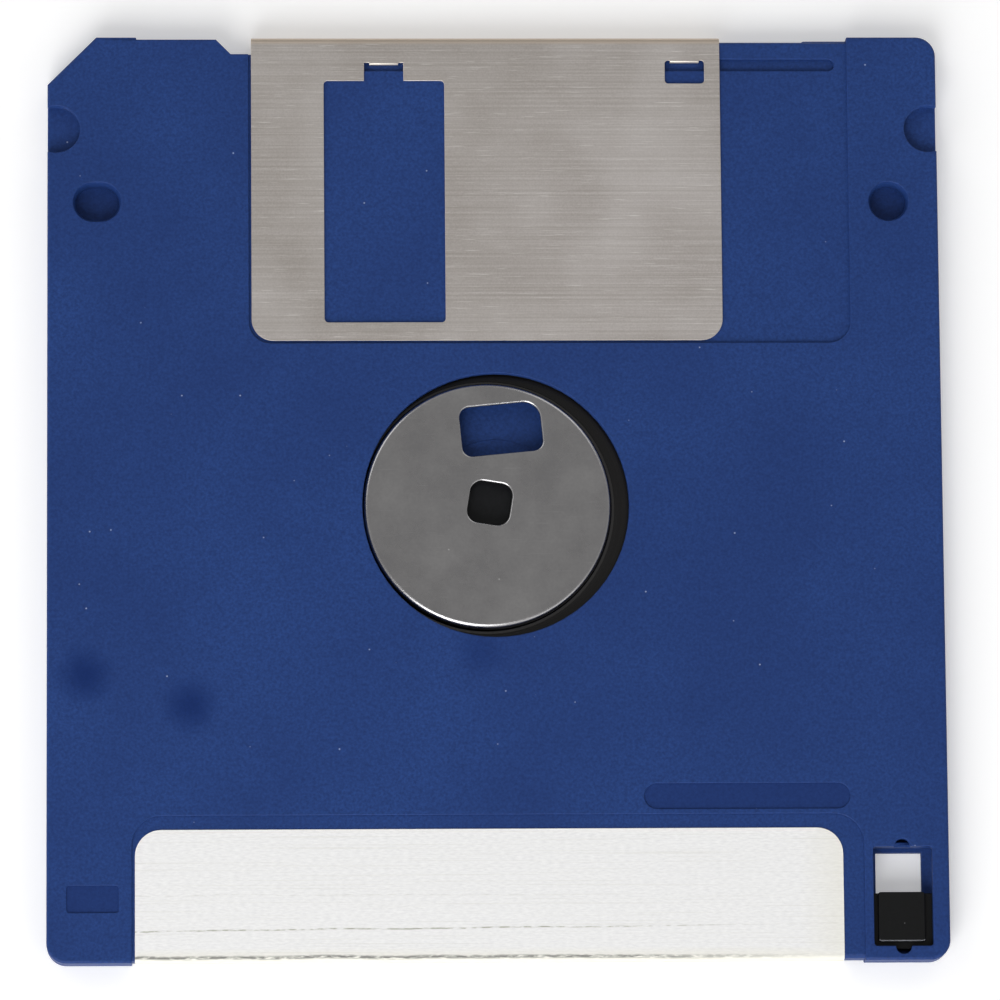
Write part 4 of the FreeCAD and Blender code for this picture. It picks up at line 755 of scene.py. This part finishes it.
first = add(tree, "FunctionNodeCompare", {
    2: add(tree, "GeometryNodeInputIndex").outputs[0], 3: 0,
}, data_type="INT", operation="EQUAL").outputs["Result"]
window_corners = add(tree, "GeometryNodeSwitch", {
    "Switch": first, "False": given["Window corner"], "True": given["Window wide corner"],
}, input_type="FLOAT").outputs["Output"]
spindle_hole = punch(given["Spindle hole"], given["Spindle hole"], given["Spindle corner"],
                     given["Spindle shift"], given["Spindle turn"])
window = punch(given["Window length"], given["Window width"], window_corners,
               given["Window place"], given["Window turn"])
punched = add(tree, "GeometryNodeMeshBoolean", {"Mesh 1": dish}, operation="DIFFERENCE", solver="EXACT")
tree.links.new(spindle_hole, punched.inputs["Mesh 2"])
tree.links.new(window, punched.inputs["Mesh 2"])
real = add(tree, "GeometryNodeRealizeInstances", {"Geometry": punched.outputs["Mesh"]}).outputs["Geometry"]
dressed = add(tree, "GeometryNodeSetMaterial", {"Geometry": real, "Material": hub_finish}).outputs["Geometry"]
tree.links.new(dressed, result.inputs["Geometry"])

# %% Press the hub and round its punched edges
def finished(piece, node, body, edge_mm):
    """Weld a grown piece, break its sharp edges a little and hand it to its body."""
    work = bmesh.new()
    work.from_mesh(piece.data)
    bmesh.ops.remove_doubles(work, verts=work.verts, dist=0.002 * MM)
    if edge_mm:
        bmesh.ops.dissolve_limit(work, angle_limit=math.radians(0.2), verts=work.verts, edges=work.edges)
    bmesh.ops.recalc_face_normals(work, faces=work.faces)
    work.to_mesh(piece.data)
    work.free()
    piece.data.shade_smooth()
    piece.data.set_sharp_from_angle(angle=math.radians(38))
    if edge_mm:
        edge = piece.modifiers.new("broken_edge", "BEVEL")
        edge.width = edge_mm * MM
        edge.segments = 2
        edge.limit_method = "ANGLE"
        edge.angle_limit = math.radians(38)
        even = piece.modifiers.new("even_shading", "WEIGHTED_NORMAL")
        even.keep_sharp = True
        even.weight = 80
    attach(piece, body)
    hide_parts(node)
    corners = [Vector(corner) / MM for corner in piece.bound_box]
    print(piece.name, [round(v, 2) for v in (*corners[0], *corners[6])], "mm")


def roll_punched_edges(mesh, level, roll_mm):
    """Round the sharp edges that lie in the upper face, as a punch draws them down."""
    work = bmesh.new()
    work.from_mesh(mesh)
    bmesh.ops.remove_doubles(work, verts=work.verts, dist=0.002 * MM)
    bmesh.ops.dissolve_limit(work, angle_limit=math.radians(0.2), verts=work.verts, edges=work.edges)
    rims = [
        edge for edge in work.edges
        if all(abs(vert.co.z - level) < 0.01 * MM for vert in edge.verts)
        and edge.is_manifold and edge.calc_face_angle() > math.radians(60)
    ]
    bmesh.ops.bevel(
        work, geom=rims, offset=roll_mm * MM, offset_type="OFFSET", segments=4, profile=0.5,
        affect="EDGES", clamp_overlap=False, material=-1,
    )
    work.to_mesh(mesh)
    work.free()
    print(len(rims), "punched edges rolled over")


hub = grow("hub_pressed", tree, hub_sizes, hub_section)
hub.data.transform(Matrix.Translation((hub_middle.x, hub_middle.y, 0)))
roll_punched_edges(hub.data, hub_high.z, 0.2)
finished(hub, "hub", "disk", 0.04)

# %% [markdown]
# ## The label
# The label is one rectangle of paper with rounded corners, stuck down in a shallow recess on the hub side, folded
# over the rear end and stuck down again on the other side. Paper lies flat, turns tightly at the fold and lifts a
# few hundredths of a millimetre here and there, which is enough to catch the light. The tree carries a straight
# line, as wide as the label, along the path of the fold. Near either end of the path the line gets shorter by a
# quarter circle, which rounds the corners. Noise lifts the sheet a little, and it is then given its thickness.

# %% The path of the fold
label_low, label_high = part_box("label")
paper = 0.1
corner_radius = 2.6
rear_end = -33.72
front_end = label_high.y / MM
fold = label_low.y / MM + paper
upper, lower = label_high.z / MM - paper, label_low.z / MM + paper
steps = [corner_radius * (1 - math.cos(math.radians(a))) for a in range(0, 91, 9)]
along_top = [rear_end - s for s in steps] + [rear_end - corner_radius - s for s in (0.9, 2.2, 3.6, 5.0, 6.4, 7.8, 9.2)]
along_under = [front_end - s for s in steps] + [front_end - corner_radius - 1.1 * s for s in range(1, 44)]
path_points = [(0, y, upper) for y in along_top] + [(0, fold, upper), (0, fold, lower)]
path_points += [(0, y, lower) for y in reversed(along_under)]
path_rounds = [0.5 if point[1] == fold else 0 for point in path_points]
label_path = open_line("label_path", path_points, path_rounds, False)
print(len(path_points), "points along the fold")

# %% Label tree
label_sizes = {
    "Width": label_high.x - label_low.x, "Corner": corner_radius * MM, "Thickness": paper * MM,
    "Fold steps": 6, "Strips": 100, "Lift": 0.03 * MM, "Lift size": 0.011, "Lift seed": 4,
}
tree, given, result = new_tree("folded_paper_label", label_sizes)


def sum_of(a, b, operation, c=0.5):
    """One step of arithmetic in the current tree."""
    return add(tree, "ShaderNodeMath", {0: a, 1: b, 2: c}, operation=operation).outputs[0]


rounding = sum_of(add(tree, "GeometryNodeInputRadius").outputs[0], MM, "MULTIPLY")
path = add(tree, "GeometryNodeFilletCurve", {
    "Curve": given["Geometry"], "Count": given["Fold steps"], "Radius": rounding, "Limit Radius": True,
}, mode="POLY").outputs["Curve"]
path = add(tree, "GeometryNodeSetCurveNormal", {"Curve": path, "Normal": (1, 0, 0)}, mode="FREE").outputs["Curve"]
walked = add(tree, "GeometryNodeSplineParameter").outputs["Length"]
whole = add(tree, "GeometryNodeSplineLength").outputs["Length"]
to_end = sum_of(walked, sum_of(whole, walked, "SUBTRACT"), "MINIMUM")
inside = sum_of(given["Corner"], sum_of(to_end, given["Corner"], "MINIMUM"), "SUBTRACT")
square = sum_of(sum_of(given["Corner"], given["Corner"], "MULTIPLY"), sum_of(inside, inside, "MULTIPLY"), "SUBTRACT")
inset = sum_of(given["Corner"], sum_of(sum_of(square, 0.0, "MAXIMUM"), 0.5, "POWER"), "SUBTRACT")
half = sum_of(given["Width"], 0.5, "MULTIPLY")
share = sum_of(1.0, sum_of(inset, half, "DIVIDE"), "SUBTRACT")
start = add(tree, "ShaderNodeCombineXYZ", {"X": half}).outputs["Vector"]
stop = add(tree, "ShaderNodeCombineXYZ", {"X": sum_of(half, -1.0, "MULTIPLY")}).outputs["Vector"]
across = add(tree, "GeometryNodeCurvePrimitiveLine", {"Start": start, "End": stop}).outputs["Curve"]
across = add(tree, "GeometryNodeResampleCurve", {"Curve": across, "Count": given["Strips"]}).outputs["Curve"]
sheet = add(tree, "GeometryNodeCurveToMesh", {
    "Curve": path, "Profile Curve": across, "Scale": share,
}).outputs["Mesh"]
where = add(tree, "GeometryNodeInputPosition").outputs[0]
level = add(tree, "ShaderNodeSeparateXYZ", {"Vector": where}).outputs["Y"]
clear = add(tree, "ShaderNodeMapRange", {
    "Value": level, "From Min": (fold + 0.9) * MM, "From Max": (fold + 5) * MM, "To Min": 0.0, "To Max": 1.0,
}).outputs["Result"]
wave = add(tree, "ShaderNodeTexNoise", {
    "Vector": add(tree, "ShaderNodeVectorMath", {0: where, 1: (0.3, 1, 1)}, operation="MULTIPLY").outputs[0],
    "W": given["Lift seed"], "Scale": sum_of(1.0, given["Lift size"], "DIVIDE"), "Detail": 1.0,
}, noise_dimensions="4D").outputs["Fac"]
wave = add(tree, "ShaderNodeMapRange", {"Value": wave, "From Min": 0.4, "From Max": 0.75}).outputs["Result"]
height = sum_of(sum_of(wave, clear, "MULTIPLY"), given["Lift"], "MULTIPLY")
outwards = add(tree, "GeometryNodeInputNormal").outputs[0]
lift = add(tree, "ShaderNodeVectorMath", {0: outwards, "Scale": height}, operation="SCALE").outputs[0]
sheet = add(tree, "GeometryNodeSetPosition", {"Geometry": sheet, "Offset": lift}).outputs["Geometry"]
thick = add(tree, "GeometryNodeExtrudeMesh", {
    "Mesh": sheet, "Offset Scale": given["Thickness"], "Individual": False,
}, mode="FACES").outputs["Mesh"]
under = add(tree, "GeometryNodeFlipFaces", {"Mesh": sheet}).outputs["Mesh"]
joined = add(tree, "GeometryNodeJoinGeometry")
tree.links.new(thick, joined.inputs[0])
tree.links.new(under, joined.inputs[0])
whole_sheet = add(tree, "GeometryNodeMergeByDistance", {
    "Geometry": joined.outputs[0], "Distance": 0.001 * MM,
}).outputs["Geometry"]
real = add(tree, "GeometryNodeRealizeInstances", {"Geometry": whole_sheet}).outputs["Geometry"]
dressed = add(tree, "GeometryNodeSetMaterial", {"Geometry": real, "Material": label_finish}).outputs["Geometry"]
tree.links.new(dressed, result.inputs["Geometry"])

label = grow("label_folded", tree, label_sizes, label_path)
label.data.transform(Matrix.Translation(((label_low.x + label_high.x) / 2, 0, 0)))
finished(label, "label", "case", 0)

# %% [markdown]
# ## The shutter's spring
# The shutter is pushed shut by a torsion spring: one wire with two straight legs and a coil of two turns and a
# bit. Its legs run off the coil as tangents, which fixes where the coil starts and stops. The tree draws the coil
# as a helix, and the wire's round section is carried along it. The spring is hidden in the case.

# %% Where the coil starts and stops
spring_low, spring_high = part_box("shutter_spring")
wire = 0.3
coil_radius = 1.9
tip_y = 44.34
moving_tip = Vector((21.4, tip_y))
anchor_tip = Vector((38.8, tip_y))
coil_middle = Vector(((moving_tip.x + anchor_tip.x) / 2, tip_y - 6.97))
reach = anchor_tip - coil_middle
lean = math.atan2(reach.y, reach.x)
off = math.acos(coil_radius / reach.length)
first_angle = math.pi - lean + off
last_angle = lean - off + 2 * math.pi + 4 * math.pi
print("coil turns", round((last_angle - first_angle) / (2 * math.pi), 2), "times")

# %% Spring tree
wire_low = spring_low.z / MM + wire / 2
wire_high = spring_high.z / MM - wire / 2
coil_steps = 72
spring_sizes = {"Wire": wire * MM, "Wire sides": 16}
spring_line = [(moving_tip.x, moving_tip.y, wire_low)]
for step in range(coil_steps + 1):
    part = step / coil_steps
    angle = first_angle + (last_angle - first_angle) * part
    spring_line.append((
        coil_middle.x + coil_radius * math.cos(angle), coil_middle.y + coil_radius * math.sin(angle),
        wire_low + (wire_high - wire_low) * part,
    ))
spring_line.append((anchor_tip.x, anchor_tip.y, wire_high))
spring_path = open_line("spring_path", spring_line, [1] * len(spring_line), False)
tree, given, result = new_tree("wire_torsion_spring", spring_sizes)
ring = add(tree, "GeometryNodeCurvePrimitiveCircle", {
    "Resolution": given["Wire sides"], "Radius": sum_of(given["Wire"], 0.5, "MULTIPLY"),
}, mode="RADIUS").outputs["Curve"]
body = add(tree, "GeometryNodeCurveToMesh", {
    "Curve": given["Geometry"], "Profile Curve": ring, "Fill Caps": True,
}).outputs["Mesh"]
real = add(tree, "GeometryNodeRealizeInstances", {"Geometry": body}).outputs["Geometry"]
dressed = add(tree, "GeometryNodeSetMaterial", {"Geometry": real, "Material": wire_finish}).outputs["Geometry"]
tree.links.new(dressed, result.inputs["Geometry"])
spring = grow("spring_wound", tree, spring_sizes, spring_path)
finished(spring, "shutter_spring", "case", 0)
print("spring box in the model:", [round(v / MM, 2) for v in (*spring_low, *spring_high)])
